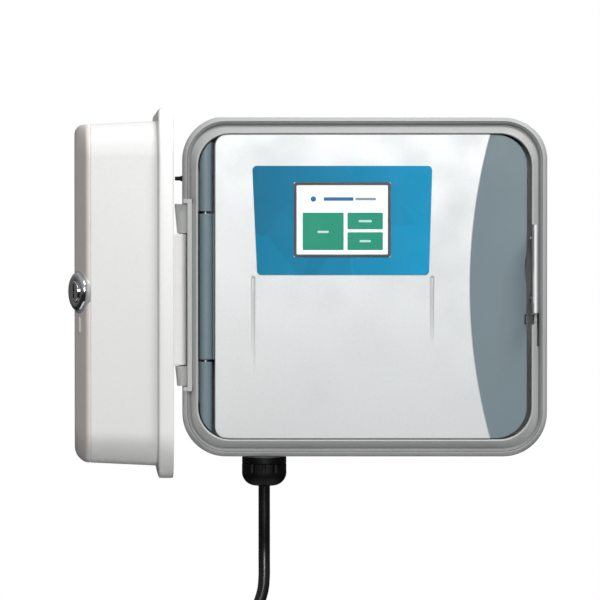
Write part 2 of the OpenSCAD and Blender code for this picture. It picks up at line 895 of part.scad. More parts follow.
module swing_frame() {
    finger = 40;
    color("slategray") difference() {
        union() {
            difference() {
                slab(frame_y, frame_back) panel_outline(0);
                slab(frame_y + frame_t, frame_back + 1) panel_outline(frame_t);
            }
            for (p = boss_points) rod_y(frame_y + 1, cover_y, p[0], p[1], 3.4);
            for (p = post_points) rod_y(frame_y + 1, board_y0, p[0], p[1], 2.6);
            rod_z(-strip_half, strip_half, pivot_x, pivot_y, strip_r);
            box(pivot_x, panel_l + 1, pivot_y - 1.4, pivot_y + strip_r, -strip_half, strip_half);
            for (z = [-42.5, -18]) box(96, panel_r - 1, frame_y + 1, -38, z, z + 1.5);
        }
        slab(frame_y - 1, frame_y + frame_t + 1) screen_window(3);
        rod_z(-strip_half - 1, strip_half + 1, pivot_x, pivot_y, pin_r + 0.05);
        for (p = boss_points) rod_y(cover_y - 8, cover_y + 1, p[0], p[1], 1.3);
        translate([panel_r + finger - 1.4, frame_y - 1, 12.5]) rotate([-90, 0, 0]) {
            cylinder(h = 10, r = finger);
        }
        box(-relief[0], -relief[1], relief[2], frame_back + 1,
            -panel_h / 2 - 1, frame_t + 0.5 - panel_h / 2);
        box(panel_r - 3, panel_r + 1, latch_y - 0.2, latch_y + 3.2, -40.4, -18.6);
        box(panel_r - 1.4, panel_r + 1, frame_y - 1, latch_y, -25.8, -19.2);
    }
}

module front_panel() {
    color("silver") difference() {
        union() {
            slab(face_y, frame_y) difference() {
                panel_outline(0);
                translate([crescent_x + crescent_r, 0]) circle(crescent_r, $fn = 200);
            }
            slab(face_y - 0.4, face_y + 0.5) polygon([
                [-75.8, 8], [46.7, 8], [46.7, -88], [-75.8, -76]
            ]);
        }
        slab(face_y - 2, frame_y + 1) screen_window(0);
    }
}

module label_plate() {
    r = 3;
    color("deepskyblue") slab(face_y - 0.4, face_y) difference() {
        hull() for (p = label_points) {
            translate([p[0] - r * sign(p[0]), p[1] + (p[1] > 40 ? -r : r)]) circle(r, $fn = 32);
        }
        screen_window(1.1);
    }
}

module screen_bezel() {
    color("darkslategray") slab(face_y - 0.8, face_y) translate([screen_x, screen_z]) {
        difference() {
            rounded(screen_w, screen_h, 1.6);
            rounded(screen_w - 3.6, screen_h - 3.6, 0.8);
        }
    }
}

module touch_screen() {
    color("white") slab(face_y + 0.1, frame_y) screen_window(-0.1);
}

module display_module() {
    color("gainsboro") slab(frame_y, board_y0 - 4) screen_window(2.6);
}

module main_board() {
    color("darkgreen") difference() {
        slab(board_y0, board_y1) rounded_at(-86, 64, -46, 96, 2);
        for (p = boss_points) rod_y(board_y0 - 1, board_y1 + 1, p[0], p[1], 3.8);
    }
}

module board_chips() {
    color("black") {
        box(-30, -16, board_y1, board_y1 + 1.6, 30, 44);
        box(-2, 8, board_y1, board_y1 + 1.2, 32, 42);
        box(-60, -52, board_y1, board_y1 + 1.8, 8, 20);
        for (z = [-8, 2, 12]) box(30, 36, board_y1, board_y1 + 2, z, z + 6);
        rod_y(board_y1, board_y1 + 5, 50, 20, 4);
        rod_y(board_y1, board_y1 + 5, 50, 32, 4);
        box(-33, -27, board_y1, board_y1 + 2.2, -13, -7);
    }
}

module wifi_module() {
    color("silver") {
        box(36, 54, board_y1, board_y1 + 2.6, 62, 80);
        box(36, 54, board_y1, board_y1 + 0.8, 80, 88);
    }
}

module cell_holder() {
    color("black") difference() {
        rod_y(board_y1, board_y1 + 4.6, -60, 50, 12);
        rod_y(board_y1 + 1.2, board_y1 + 5, -60, 50, 10.1);
    }
}

module coin_cell() {
    color("silver") rod_y(board_y1 + 1.2, board_y1 + 4.4, -60, 50, 10);
}

module rear_cover() {
    color("slategray") difference() {
        slab(cover_y, cover_y + 2) intersection() {
            panel_outline(frame_t + 0.3);
            translate([-200, cover_low]) square([400, cover_high - cover_low]);
        }
        for (p = boss_points) rod_y(cover_y - 1, cover_y + 3, p[0], p[1], 1.7);
        rod_y(cover_y - 1, cover_y + 3, -30, -10, 2.3);
        box(-92, -76, cover_y - 1, cover_y + 3, ribbon_z0 - 4, ribbon_z1 + 4);
        for (i = [0 : 9]) {
            slab(cover_y - 1, cover_y + 3) rounded_at(0 + i * 8, 4 + i * 8, -20, 6, 1.9);
        }
    }
}

module cover_screws() {
    color("silver") for (p = boss_points) {
        pan_head(p[0], p[1], cover_y + 2, 3, 1.9);
        rod_y(cover_y - 6, cover_y + 2, p[0], p[1], 1.3);
    }
}

module ribbon_header() {
    color("black") difference() {
        box(-86, -80, board_y1, -27.4, ribbon_z0 - 2, ribbon_z1 + 2);
        box(-86.2, -83.6, -30, -27, ribbon_z0 - 0.4, ribbon_z1);
    }
}

// A thumb slide: its nose goes behind the rim's lip
module panel_latch() {
    nose = panel_r + 0.4;
    color("darkslategray") {
        box(98, nose, latch_y, latch_y + 3, -40, -30);
        box(98, nose - 0.4, latch_y, latch_y + 3, -30, -19);
        box(nose - 1.4, nose, frame_y - 2.8, latch_y + 1, -25.2, -19.8);
    }
}

module reset_button() {
    color("firebrick") {
        rod_y(board_y1 + 3.2, cover_y + 3, -30, -10, 2);
        rod_y(board_y1 + 3.2, board_y1 + 4, -30, -10, 2.8);
    }
}

cabinet_shell();
rim_gasket();
door_hinge_pins();
lock_keeper();
keeper_rivets();
hinge_cap_top();
hinge_cap_bottom();
panel_hinge_pins();
gland_body();
gland_washer();
gland_locknut();
gland_seal();
gland_nut();
power_cord();
cord_coil();
cord_tie();
plug_body();
plug_blades();
cord_tail();
mains_wires();
mains_block();
transformer_core();
transformer_winding();
transformer_bracket();
transformer_screws();
secondary_wires();
terminal_board();
board_screws();
terminal_blocks();
terminal_screws();
station_drivers();
fuse_clips();
fuse();
ribbon_socket();
ribbon_cable();
door_shell();
door_front();
door_hinge_leaf();
lock_bezel();
lock_housing();
lock_nut();
lock_plug();
lock_cam();
cam_screw();
swing_frame();
front_panel();
label_plate();
screen_bezel();
touch_screen();
display_module();
main_board();
board_chips();
wifi_module();
cell_holder();
coin_cell();
rear_cover();
cover_screws();
ribbon_header();
panel_latch();
reset_button();
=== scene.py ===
"""Looks of a wall-mounted irrigation controller: a plastic cabinet with a locking outer door
that stands open, a swing-out control panel with a touch screen, and a power cord."""
import json
import math

import bmesh
import bpy
from mathutils import Matrix, Vector


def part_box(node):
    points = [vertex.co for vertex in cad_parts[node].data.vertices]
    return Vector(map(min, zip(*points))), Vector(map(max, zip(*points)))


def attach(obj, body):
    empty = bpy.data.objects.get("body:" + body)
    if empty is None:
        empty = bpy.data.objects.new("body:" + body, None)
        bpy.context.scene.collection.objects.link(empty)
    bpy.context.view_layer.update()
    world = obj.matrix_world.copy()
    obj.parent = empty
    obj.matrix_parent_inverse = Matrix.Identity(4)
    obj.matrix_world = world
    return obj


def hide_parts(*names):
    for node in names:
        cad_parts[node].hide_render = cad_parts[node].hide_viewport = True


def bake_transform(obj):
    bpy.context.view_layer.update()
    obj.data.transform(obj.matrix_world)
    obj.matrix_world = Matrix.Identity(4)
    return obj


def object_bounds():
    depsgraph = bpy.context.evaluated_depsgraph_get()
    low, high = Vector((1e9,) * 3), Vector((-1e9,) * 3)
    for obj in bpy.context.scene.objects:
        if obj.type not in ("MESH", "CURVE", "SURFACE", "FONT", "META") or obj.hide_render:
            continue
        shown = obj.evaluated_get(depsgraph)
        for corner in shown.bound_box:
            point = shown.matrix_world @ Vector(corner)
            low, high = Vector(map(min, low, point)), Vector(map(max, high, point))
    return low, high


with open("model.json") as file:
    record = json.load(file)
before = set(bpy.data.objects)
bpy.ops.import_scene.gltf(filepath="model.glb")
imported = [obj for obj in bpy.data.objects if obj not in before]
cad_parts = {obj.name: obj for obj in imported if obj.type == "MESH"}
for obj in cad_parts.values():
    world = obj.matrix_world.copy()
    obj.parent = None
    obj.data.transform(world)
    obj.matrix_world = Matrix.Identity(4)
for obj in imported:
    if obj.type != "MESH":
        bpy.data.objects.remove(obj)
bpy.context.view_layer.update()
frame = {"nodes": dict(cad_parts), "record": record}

MM = 0.001
RECORD = frame["record"]
BODY_OF = {node: body for body, nodes in RECORD["behaviour"]["bodies"].items() for node in nodes}

# ---------- places from the frame ----------

CAB_LOW, CAB_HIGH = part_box("cabinet_shell")
HALF_W = CAB_HIGH.x
HALF_H = CAB_HIGH.z
RIM_Y = CAB_LOW.y
HINGE = Vector((-HALF_W - 1 * MM, RIM_Y + 9.5 * MM, 0))
DOOR_OPEN = math.radians(87)
FACE_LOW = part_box("front_panel")[0]

CORNER_R = 30 * MM  # the cabinet's and the door flange's corners
WALL = 3 * MM  # the cabinet's walls
FLOOR_HOLE_Y = -23.5
FLOOR_HOLES = ((-69, 10.1), (-3, 11.1), (52, 14.1))  # (x, radius): the gland, two conduits
WALL_SCREW_AT, WALL_SCREW_R = (88, 94), 2.6
KEYHOLE_Z, KEYHOLE_R = 84, 5

# ---------- camera ----------


def make_camera():
    """A long lens, straight on and a little above, as in the photo."""
    camera = bpy.data.objects.new("camera", bpy.data.cameras.new("camera"))
    camera.location = (-0.0443, -2.797, 0.0546)
    camera.rotation_euler = (math.radians(90 - 1.326), 0, 0)
    camera.data.lens = 241.5
    camera.data.sensor_width = 36
    camera.data.clip_end = 50
    bpy.context.scene.collection.objects.link(camera)
    bpy.context.scene.camera = camera


# ---------- materials ----------


def linear(value):
    value /= 255
    return value / 12.92 if value <= 0.04045 else ((value + 0.055) / 1.055) ** 2.4


def rgb(red, green, blue):
    return (linear(red), linear(green), linear(blue), 1.0)


class Paint:
    """A Principled material; each method adds one layer of detail to it."""

    def __init__(self, name, colour, rough=0.45, metal=0.0, coat=0.0):
        self.material = bpy.data.materials.new(name)
        self.material.use_nodes = True
        self.tree = self.material.node_tree
        self.shader = self.tree.nodes["Principled BSDF"]
        self.shader.inputs["Base Color"].default_value = colour
        self.shader.inputs["Roughness"].default_value = rough
        self.shader.inputs["Metallic"].default_value = metal
        self.shader.inputs["Coat Weight"].default_value = coat
        self.shader.inputs["Coat Roughness"].default_value = 0.12
        self.material.diffuse_color = colour
        self.coords = self.add("ShaderNodeTexCoord").outputs["Object"]
        self.colour = None
        self.normal = None
        self.base = colour
        self.rough = rough

    def add(self, kind, **values):
        node = self.tree.nodes.new(kind)
        for key, value in values.items():
            setattr(node, key, value)
        return node

    def link(self, source, target):
        self.tree.links.new(source, target)

    def stretched(self, stretch):
        """The coordinates, squeezed along the axes where a pattern is to be drawn out."""
        if stretch == (1, 1, 1):
            return self.coords
        mapping = self.add("ShaderNodeMapping")
        mapping.inputs["Scale"].default_value = stretch
        self.link(self.coords, mapping.inputs["Vector"])
        return mapping.outputs["Vector"]

    def noise(self, scale, detail=3.0, stretch=(1, 1, 1)):
        node = self.add("ShaderNodeTexNoise")
        node.inputs["Scale"].default_value = scale
        node.inputs["Detail"].default_value = detail
        self.link(self.stretched(stretch), node.inputs["Vector"])
        return node.outputs["Fac"]

    def cells(self, scale, output="Color", stretch=(1, 1, 1), feature="F1"):
        node = self.add("ShaderNodeTexVoronoi", feature=feature)
        node.inputs["Scale"].default_value = scale
        self.link(self.stretched(stretch), node.inputs["Vector"])
        return node.outputs[output]

    def bands(self, scale, axis="X", distortion=0.0):
        node = self.add("ShaderNodeTexWave", bands_direction=axis)
        node.inputs["Scale"].default_value = scale
        node.inputs["Distortion"].default_value = distortion
        self.link(self.coords, node.inputs["Vector"])
        return node.outputs["Fac"]

    def along(self, axis, start, end):
        """0 to 1 between two places on an axis."""
        split = self.add("ShaderNodeSeparateXYZ")
        self.link(self.coords, split.inputs["Vector"])
        return self.spread(split.outputs[axis], start, end, 0, 1)

    def spread(self, source, low, high, to_low, to_high):
        """Maps one range of a value onto another."""
        node = self.add("ShaderNodeMapRange")
        for key, value in zip(("From Min", "From Max", "To Min", "To Max"),
                              (low, high, to_low, to_high)):
            node.inputs[key].default_value = value
        self.link(source, node.inputs["Value"])
        return node.outputs["Result"]

    def tint(self, factor, colour, low=0.35, high=0.65, amount=1.0):
        """Mixes a second colour in where a pattern is high."""
        mix = self.add("ShaderNodeMix", data_type="RGBA")
        self.link(self.spread(factor, low, high, 0, amount), mix.inputs["Factor"])
        if self.colour is None:
            mix.inputs["A"].default_value = self.base
        else:
            self.link(self.colour, mix.inputs["A"])
        mix.inputs["B"].default_value = colour
        self.colour = mix.outputs["Result"]
        self.link(self.colour, self.shader.inputs["Base Color"])

    def polish(self, factor, spread):
        """Makes the roughness vary with a pattern."""
        low, high = self.rough - spread, self.rough + spread
        self.link(self.spread(factor, 0.3, 0.7, low, high), self.shader.inputs["Roughness"])

    def relief(self, factor, depth, strength=1.0):
        """Raises the surface by a pattern; depth is in metres."""
        bump = self.add("ShaderNodeBump")
        bump.inputs["Strength"].default_value = strength
        bump.inputs["Distance"].default_value = depth
        self.link(factor, bump.inputs["Height"])
        if self.normal is not None:
            self.link(self.normal, bump.inputs["Normal"])
        self.normal = bump.outputs["Normal"]
        self.link(self.normal, self.shader.inputs["Normal"])


def shade(colour, factor):
    return (colour[0] * factor, colour[1] * factor, colour[2] * factor, 1.0)


def moulded(name, colour, rough=0.42, grain=1400, depth=0.00003, vary=0.93, coat=0.0, gloss=0.5):
    """Injection-moulded plastic: a fine eroded grain, faint flow marks and handling sheen."""
    paint = Paint(name, colour, rough, coat=coat)
    paint.shader.inputs["Specular IOR Level"].default_value = gloss
    paint.tint(paint.noise(9, 4), shade(colour, vary), 0.4, 0.7)
    paint.tint(paint.noise(grain * 0.5, 2), shade(colour, vary * 0.97), 0.45, 0.75, 0.5)
    paint.polish(paint.noise(35, 5, (1, 1, 0.4)), 0.06)
    paint.relief(paint.cells(grain, "Distance"), depth, 0.6)
    paint.relief(paint.noise(60, 2), depth * 3, 0.25)
    return paint


def bare_metal(name, colour, rough=0.25, stretch=(1, 1, 0.03), depth=0.00001):
    """Metal with drawn or turned marks and a few dull patches."""
    paint = Paint(name, colour, rough, metal=1.0)
    paint.tint(paint.noise(70, 4), shade(colour, 0.8), 0.45, 0.8)
    paint.polish(paint.noise(260, 4, stretch), 0.09)
    paint.relief(paint.noise(2600, 2, stretch), depth, 0.5)
    return paint


def silver_paint():
    """Sprayed silver on the panel's face: fine flakes under a satin lacquer."""
    colour = rgb(207, 210, 210)
    paint = Paint("silver_paint", colour, 0.38, metal=0.2, coat=0.05)
    paint.tint(paint.noise(7, 3), shade(colour, 0.965), 0.42, 0.7)
    paint.tint(paint.cells(2600), rgb(232, 234, 235), 0.55, 1.0, 0.35)
    paint.polish(paint.noise(28, 5), 0.07)
    paint.relief(paint.noise(3000, 1), 0.000012, 0.5)
    paint.relief(paint.noise(120, 2), 0.00003, 0.15)
    return paint


def printed_blue():
    """The label: blue that brightens to the right, over faint facets."""
    left, right = rgb(0, 112, 148), rgb(0, 152, 200)
    paint = Paint("label_blue", left, 0.5)
    paint.shader.inputs["Specular IOR Level"].default_value = 0.2
    low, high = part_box("label_plate")
    paint.tint(paint.along("X", low.x, high.x), right, 0, 1)
    facets = paint.cells(34, "Color", (1, 1, 0.8))
    paint.tint(facets, rgb(0, 168, 214), 0.3, 1.0, 0.25)
    paint.tint(paint.cells(19, "Color", (1, 1, 1.3)), rgb(0, 92, 130), 0.3, 1.0, 0.3)
    paint.polish(paint.noise(60, 4), 0.05)
    paint.relief(paint.noise(900, 2), 0.00001, 0.4)
    return paint


def circuit_green():
    """Solder mask with copper tracks showing through it."""
    colour = rgb(16, 82, 50)
    paint = Paint("solder_mask", colour, 0.3, coat=0.4)
    tracks = paint.cells(260, "Distance", (1, 1, 1), "DISTANCE_TO_EDGE")
    paint.tint(tracks, rgb(44, 128, 78), 0.06, 0.03, 0.8)
    paint.tint(paint.cells(420, "Distance"), rgb(190, 160, 90), 0.12, 0.08, 0.7)
    paint.polish(paint.noise(90, 3), 0.06)
    paint.relief(tracks, 0.00002, 0.6)
    return paint


def cord_rubber():
    """The cord's PVC jacket: black, half gloss, with faint extrusion marks and dust."""
    colour = rgb(7, 7, 8)
    paint = Paint("cord_jacket", colour, 0.27, coat=0.1)
    paint.tint(paint.noise(160, 4), rgb(22, 22, 23), 0.5, 0.8, 0.7)
    paint.polish(paint.noise(90, 4), 0.08)
    paint.relief(paint.noise(700, 3), 0.00002, 0.5)
    return paint


def strap_weave():
    """The tie's woven hook-and-loop strap."""
    colour = rgb(38, 38, 41)
    paint = Paint("strap_weave", colour, 0.85)
    weave = paint.bands(900, "X")
    paint.tint(weave, rgb(66, 66, 70), 0.3, 0.8, 0.7)
    paint.relief(weave, 0.00012, 0.7)
    paint.relief(paint.cells(1500, "Distance"), 0.00018, 0.8)
    return paint


def laminated_steel():
    """The transformer's core: stacked sheets with a little rust."""
    colour = rgb(96, 96, 98)
    paint = Paint("lamination_steel", colour, 0.5, metal=0.7)
    sheets = paint.bands(620, "Z")
    paint.tint(sheets, rgb(40, 38, 38), 0.3, 0.8, 0.8)
    paint.tint(paint.noise(60, 4), rgb(110, 84, 60), 0.55, 0.85, 0.5)
    paint.relief(sheets, 0.00012, 0.7)
    return paint


def winding_tape():
    """Yellow polyester tape wound round the transformer's coil."""
    colour = rgb(228, 184, 72)
    paint = Paint("winding_tape", colour, 0.28, coat=0.3)
    turns = paint.bands(75, "Z", 0.6)
    paint.tint(turns, rgb(196, 146, 42), 0.3, 0.9, 0.7)
    paint.polish(paint.noise(120, 3), 0.08)
    paint.relief(turns, 0.0002, 0.5)
    return paint


def glass_face():
    """The touch panel's outer glass over a lit white page."""
    colour = rgb(246, 249, 249)
    paint = Paint("screen_page", colour, 0.2, coat=0.3)
    paint.shader.inputs["Emission Color"].default_value = colour
    paint.shader.inputs["Emission Strength"].default_value = 0.25
    paint.tint(paint.noise(30, 2), rgb(240, 246, 248), 0.4, 0.7)
    paint.polish(paint.noise(55, 5), 0.05)
    paint.relief(paint.noise(40, 1), 0.00001, 0.2)
    return paint


def screen_ink(name, colour):
    """A lit area of the screen's picture, with its fine pixel rows."""
    paint = Paint(name, colour, 0.4)
    paint.shader.inputs["Specular IOR Level"].default_value = 0.25
    paint.tint(paint.bands(1500, "Z"), shade(colour, 0.86), 0.3, 0.7, 0.6)
    paint.polish(paint.noise(55, 5), 0.04)
    paint.relief(paint.bands(1500, "Z"), 0.000004, 0.3)
    return paint


def ribbon_paint():
    """Grey flat cable, one wire beside the next."""
    colour = rgb(190, 192, 194)
    paint = Paint("ribbon_grey", colour, 0.4)
    wires = paint.bands(250, "Z")
    paint.tint(wires, rgb(150, 152, 156), 0.2, 0.9, 0.8)
    paint.polish(paint.noise(90, 3), 0.06)
    paint.relief(wires, 0.0003, 0.8)
    return paint


def floor_paint():
    colour = rgb(244, 244, 243)
    paint = Paint("studio_floor", colour, 0.7)
    paint.tint(paint.noise(2, 3), rgb(240, 240, 239), 0.4, 0.7)
    paint.relief(paint.noise(150, 3), 0.0001, 0.2)
    return paint


def make_paints():
    """One material for each of the record's slots, and a few for details."""
    paints = {
        "cabinet_plastic": moulded("cabinet_grey", rgb(188, 190, 189), 0.32, 1100, 0.00003,
                                   0.94, 0.2),
        "gasket_rubber": moulded("gasket_grey", rgb(150, 151, 152), 0.75, 900, 0.00006, 0.8),
        "steel": bare_metal("zinc_steel", rgb(196, 197, 199), 0.3, (1, 1, 1)),
        "keeper_plastic": moulded("keeper_white", rgb(236, 237, 238), 0.4),
        "slate_plastic": moulded("slate_grey", rgb(112, 131, 138), 0.45, 1600, 0.00004, 0.94),
        "black_nylon": moulded("nylon_black", rgb(4, 4, 5), 0.48, 1300, 0.00004, 0.75, 0.0, 0.25),
        "cord_jacket": cord_rubber(),
        "tie_strap": strap_weave(),
        "plated_brass": bare_metal("plated_brass", rgb(214, 196, 150), 0.22),
        "wire_sleeves": moulded("wire_brown", rgb(98, 60, 36), 0.3, 2500, 0.00001),
        "natural_nylon": moulded("nylon_natural", rgb(232, 229, 216), 0.4),
        "laminations": laminated_steel(),
        "winding_tape": winding_tape(),
        "red_black_wires": moulded("wire_red", rgb(170, 30, 28), 0.3, 2500, 0.00001),
        "circuit_board": circuit_green(),
        "terminal_plastic": moulded("terminal_green", rgb(28, 122, 82), 0.4, 1800),
        "chip_black": moulded("chip_epoxy", rgb(30, 30, 32), 0.55, 2600, 0.00002, 0.8),
        "fuse_glass": moulded("fuse_tube", rgb(206, 226, 226), 0.1, 2600, 0.000005, 0.95, 0.6),
        "ribbon_grey": ribbon_paint(),
        "door_plastic": moulded("door_white", rgb(239, 239, 238), 0.34, 1000, 0.000025, 0.97, 0.15),
        # The front cover is the door's white plastic, made a little darker and warmer: painted
        # shade and a painted warm reflection, not a colour of its own.
        "door_front_plastic": moulded("cover_white_painted_shade", rgb(234, 228, 223), 0.38, 1000, 0.00004, 0.95),
        "bezel_plastic": moulded("bezel_grey", rgb(176, 176, 177), 0.3),
        "chrome": bare_metal("chrome", rgb(226, 227, 230), 0.09, (1, 1, 1), 0.000003),
        "silver_plastic": silver_paint(),
        "blue_label": printed_blue(),
        "bezel_black": moulded("screen_frame", rgb(52, 54, 58), 0.4, 1800, 0.00002, 0.85),
        "screen_glass": glass_face(),
        "display_metal": bare_metal("display_can", rgb(180, 182, 184), 0.35, (1, 1, 1)),
        "cell_steel": bare_metal("cell_steel", rgb(206, 207, 209), 0.22, (1, 1, 1)),
        "rear_plastic": moulded("rear_slate", rgb(104, 118, 124), 0.5, 1300, 0.00005, 0.94),
        "button_red": moulded("button_red", rgb(176, 38, 32), 0.35),
    }
    extra = {
        "wire_blue": moulded("wire_blue", rgb(40, 84, 168), 0.3, 2500, 0.00001),
        "wire_green": moulded("wire_green", rgb(120, 158, 40), 0.3, 2500, 0.00001),
        "wire_black": moulded("wire_black", rgb(26, 26, 27), 0.3, 2500, 0.00001),
        "tile": screen_ink("screen_tile", rgb(0, 152, 120)),
        "tile_bar": screen_ink("screen_bar", rgb(206, 236, 228)),
        "page_blue": screen_ink("screen_blue", rgb(24, 112, 172)),
        "page_grey": screen_ink("screen_grey", rgb(150, 158, 168)),
    }
    return paints, extra


def slot_of_nodes():
    """Which of the record's material slots each CAD node has."""
    return {part["node"]: part["material_slot"] for part in RECORD["subparts"]}


# ---------- mesh helpers ----------


FLAT_AREA = 4e-4  # square metres: a face larger than this is a flat wall


def add_object(name, data):
    obj = bpy.data.objects.new(name, data)
    bpy.context.scene.collection.objects.link(obj)
    return obj


def mesh_of(name, form):
    """A mesh made of a bmesh, which is used up."""
    mesh = bpy.data.meshes.new(name)
    form.to_mesh(mesh)
    form.free()
    return mesh


def finish_mesh(mesh, angle=32):
    """Smooth shading but for the large flat faces, with the hard edges kept."""
    smooth = [face.area < FLAT_AREA for face in mesh.polygons]
    mesh.polygons.foreach_set("use_smooth", smooth)
    mesh.set_sharp_from_angle(angle=math.radians(angle))
    mesh.update()


def place(name, form, paint, body, replaces=(), angle=32):
    """Makes an object of a bmesh, and rides it on a body."""
    bmesh.ops.recalc_face_normals(form, faces=form.faces)
    mesh = mesh_of(name, form)
    finish_mesh(mesh, angle)
    obj = add_object(name, mesh)
    mesh.materials.append(paint.material)
    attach(obj, body)
    if replaces:
        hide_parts(*replaces)
    return obj


def corner_ring(left, right, low, high, radius, y, steps=10):
    """The points of a rounded rectangle in X and Z, at one depth."""
    points = []
    for side_x, side_z, start in ((1, 1, 0), (-1, 1, 90), (-1, -1, 180), (1, -1, 270)):
        centre_x = right - radius if side_x > 0 else left + radius
        centre_z = high - radius if side_z > 0 else low + radius
        for step in range(steps + 1):
            angle = math.radians(start + 90 * step / steps)
            points.append(Vector((centre_x + radius * math.cos(angle), y,
                                  centre_z + radius * math.sin(angle))))
    return points


def loft(form, rings, closed=False, caps=(False, False)):
    """Joins rings of points by strips of faces."""
    rows = [[form.verts.new(point) for point in ring] for ring in rings]
    count = len(rows[0])
    pairs = list(zip(rows, rows[1:])) + ([(rows[-1], rows[0])] if closed else [])
    for first, second in pairs:
        for k in range(count):
            n = (k + 1) % count
            form.faces.new((first[k], first[n], second[n], second[k]))
    if caps[0]:
        form.faces.new(rows[0])
    if caps[1]:
        form.faces.new(rows[-1])


def rounded_profile(corners, closed=False, steps=4):
    """Rounds the corners of a profile. Each is (half width, half height, radius, y, fillet)."""
    result = []
    last = len(corners) - 1
    for i, corner in enumerate(corners):
        here, fillet = Vector(corner[:4]), corner[4]
        if not fillet or (not closed and i in (0, last)):
            result.append(here)
            continue
        legs = []
        for other in (corners[i - 1], corners[(i + 1) % len(corners)]):
            leg = Vector(other[:4]) - here
            legs.append(leg * (fillet / math.hypot(leg[0], leg[3])))
        for step in range(steps + 1):
            angle = math.pi / 2 * step / steps
            result.append(here + legs[0] * (1 - math.sin(angle))
                          + legs[1] * (1 - math.cos(angle)))
    return result


def profile_rings(profile, steps=10):
    return [corner_ring(-p[0], p[0], -p[1], p[1], p[2], p[3], steps) for p in profile]


def add_box(form, low, high):
    """A box between two corners."""
    made = bmesh.ops.create_cube(form, size=1)["verts"]
    for vert in made:
        vert.co = Vector([low[i] + (vert.co[i] + 0.5) * (high[i] - low[i]) for i in range(3)])
    return made


def turned_rings(profile, centre, axis, sides):
    """Circles about an axis; the profile is (radius, distance along the axis)."""
    turn = Vector(axis).to_track_quat("Z", "Y").to_matrix()
    rings = []
    for radius, along in profile:
        rings.append([Vector(centre) + turn @ Vector((radius * math.cos(2 * math.pi * k / sides),
                                                     radius * math.sin(2 * math.pi * k / sides),
                                                     along)) for k in range(sides)])
    return rings


def add_turned(form, profile, centre, axis, sides=40):
    """A body turned about an axis, closed at both ends."""
    loft(form, turned_rings(profile, centre, axis, sides), caps=(True, True))


def add_ring_turned(form, profile, centre, axis, sides=48):
    """A ring turned about an axis from a closed profile."""
    loft(form, turned_rings(profile, centre, axis, sides), closed=True)


def soften_box(form, verts, width):
    """Rounds every edge of a box that was just added."""
    bmesh.ops.bevel(form, geom=list({e for v in verts for e in v.link_edges}), offset=width,
                    segments=2, affect="EDGES")


def cut(form, tools):
    """Takes tool shapes away from a form, by an exact boolean."""
    bmesh.ops.recalc_face_normals(form, faces=form.faces)
    bmesh.ops.recalc_face_normals(tools, faces=tools.faces)
    body = add_object("cut_body", mesh_of("cut_body", form))
    tool = add_object("cut_tool", mesh_of("cut_tool", tools))
    modifier = body.modifiers.new("cut", "BOOLEAN")
    modifier.object = tool
    modifier.solver = "EXACT"
    modifier.use_self = True  # the tools may overlap each other
    evaluated = body.evaluated_get(bpy.context.evaluated_depsgraph_get())
    result = bmesh.new()
    result.from_mesh(evaluated.to_mesh())
    evaluated.to_mesh_clear()
    if not result.faces:
        raise RuntimeError("a cut came out empty")
    for obj in (body, tool):
        mesh = obj.data
        bpy.data.objects.remove(obj)
        bpy.data.meshes.remove(mesh)
    return result


def merge_flat(form, distance):
    """Joins points that coincide and faces that lie in one plane."""
    bmesh.ops.remove_doubles(form, verts=form.verts, dist=distance)
    bmesh.ops.dissolve_limit(form, angle_limit=math.radians(0.6), verts=form.verts,
                             edges=form.edges)


def copy_node(node, paint, angle, edit=None):
    """A copy of a CAD node, which stands for the node."""
    form = bmesh.new()
    form.from_mesh(frame["nodes"][node].data)
    merge_flat(form, 2e-6)
    if edit:
        form = edit(form)
    return place(node + "_skin", form, paint, BODY_OF[node], [node], angle)


def soften(node, width, paint, segments=2, angle=35, edit=None):
    """A copy of a CAD node with its hard edges rounded."""
    obj = copy_node(node, paint, angle, edit)
    bevel = obj.modifiers.new("rounding", "BEVEL")
    bevel.width = width
    bevel.segments = segments
    bevel.limit_method = "ANGLE"
    bevel.angle_limit = math.radians(angle)
    bevel.use_clamp_overlap = False
    bevel.harden_normals = edit is None
    if edit:  # keeps the large faces flat beside the new small ones
        flat = obj.modifiers.new("flat walls", "WEIGHTED_NORMAL")
        flat.keep_sharp = True
        flat.weight = 60
    return obj


# ---------- power cord ----------

CORD_D = 8 * MM
# Points of the cord's middle, in mm: from the gland to the coil, then to the plug.
LEAD_ROUTE = [
    (-69, -23.5, -125), (-69, -23.5, -137.5), (-69, -23.5, -150), (-69, -23.5, -165),
    (-69, -23.5, -180), (-69, -24.5, -190), (-69, -27, -200), (-70, -30, -210),
    (-73.5, -33.5, -220), (-78.5, -37, -230), (-85, -39.5, -240), (-92.5, -41, -250),
    (-100, -41.5, -260), (-106.5, -41.5, -270), (-111.5, -41.5, -280), (-115, -41.5, -290),
]
END_ROUTE = [(-125, -32.5, -312), (-125, -32.5, -325), (-125, -32.5, -338), (-125, -32.5, -352)]
COIL_CENTRE = (-69, -300)
# Where the turns lie, as (depth, radius): each turn moves from one place to the next.
COIL_PLACES = [(-41.5, 47), (-41.5, 38), (-32.5, 38), (-23.5, 38), (-23.5, 47), (-32.5, 47),
               (-32.5, 56)]
STEPS_PER_TURN = 36


def coil_route():
    """The coil's turns, which start and end on its left."""
    points = []
    turns = len(COIL_PLACES) - 1
    for step in range(turns * STEPS_PER_TURN + 1):
        turn, part = divmod(step / STEPS_PER_TURN, 1)
        turn = min(int(turn), turns - 1)
        part = step / STEPS_PER_TURN - turn
        here, there = COIL_PLACES[turn], COIL_PLACES[turn + 1]
        depth = here[0] + (there[0] - here[0]) * part
        radius = here[1] + (there[1] - here[1]) * part
        angle = math.pi + 2 * math.pi * part
        points.append((COIL_CENTRE[0] + radius * math.cos(angle), depth,
                       COIL_CENTRE[1] + radius * math.sin(angle)))
    return points


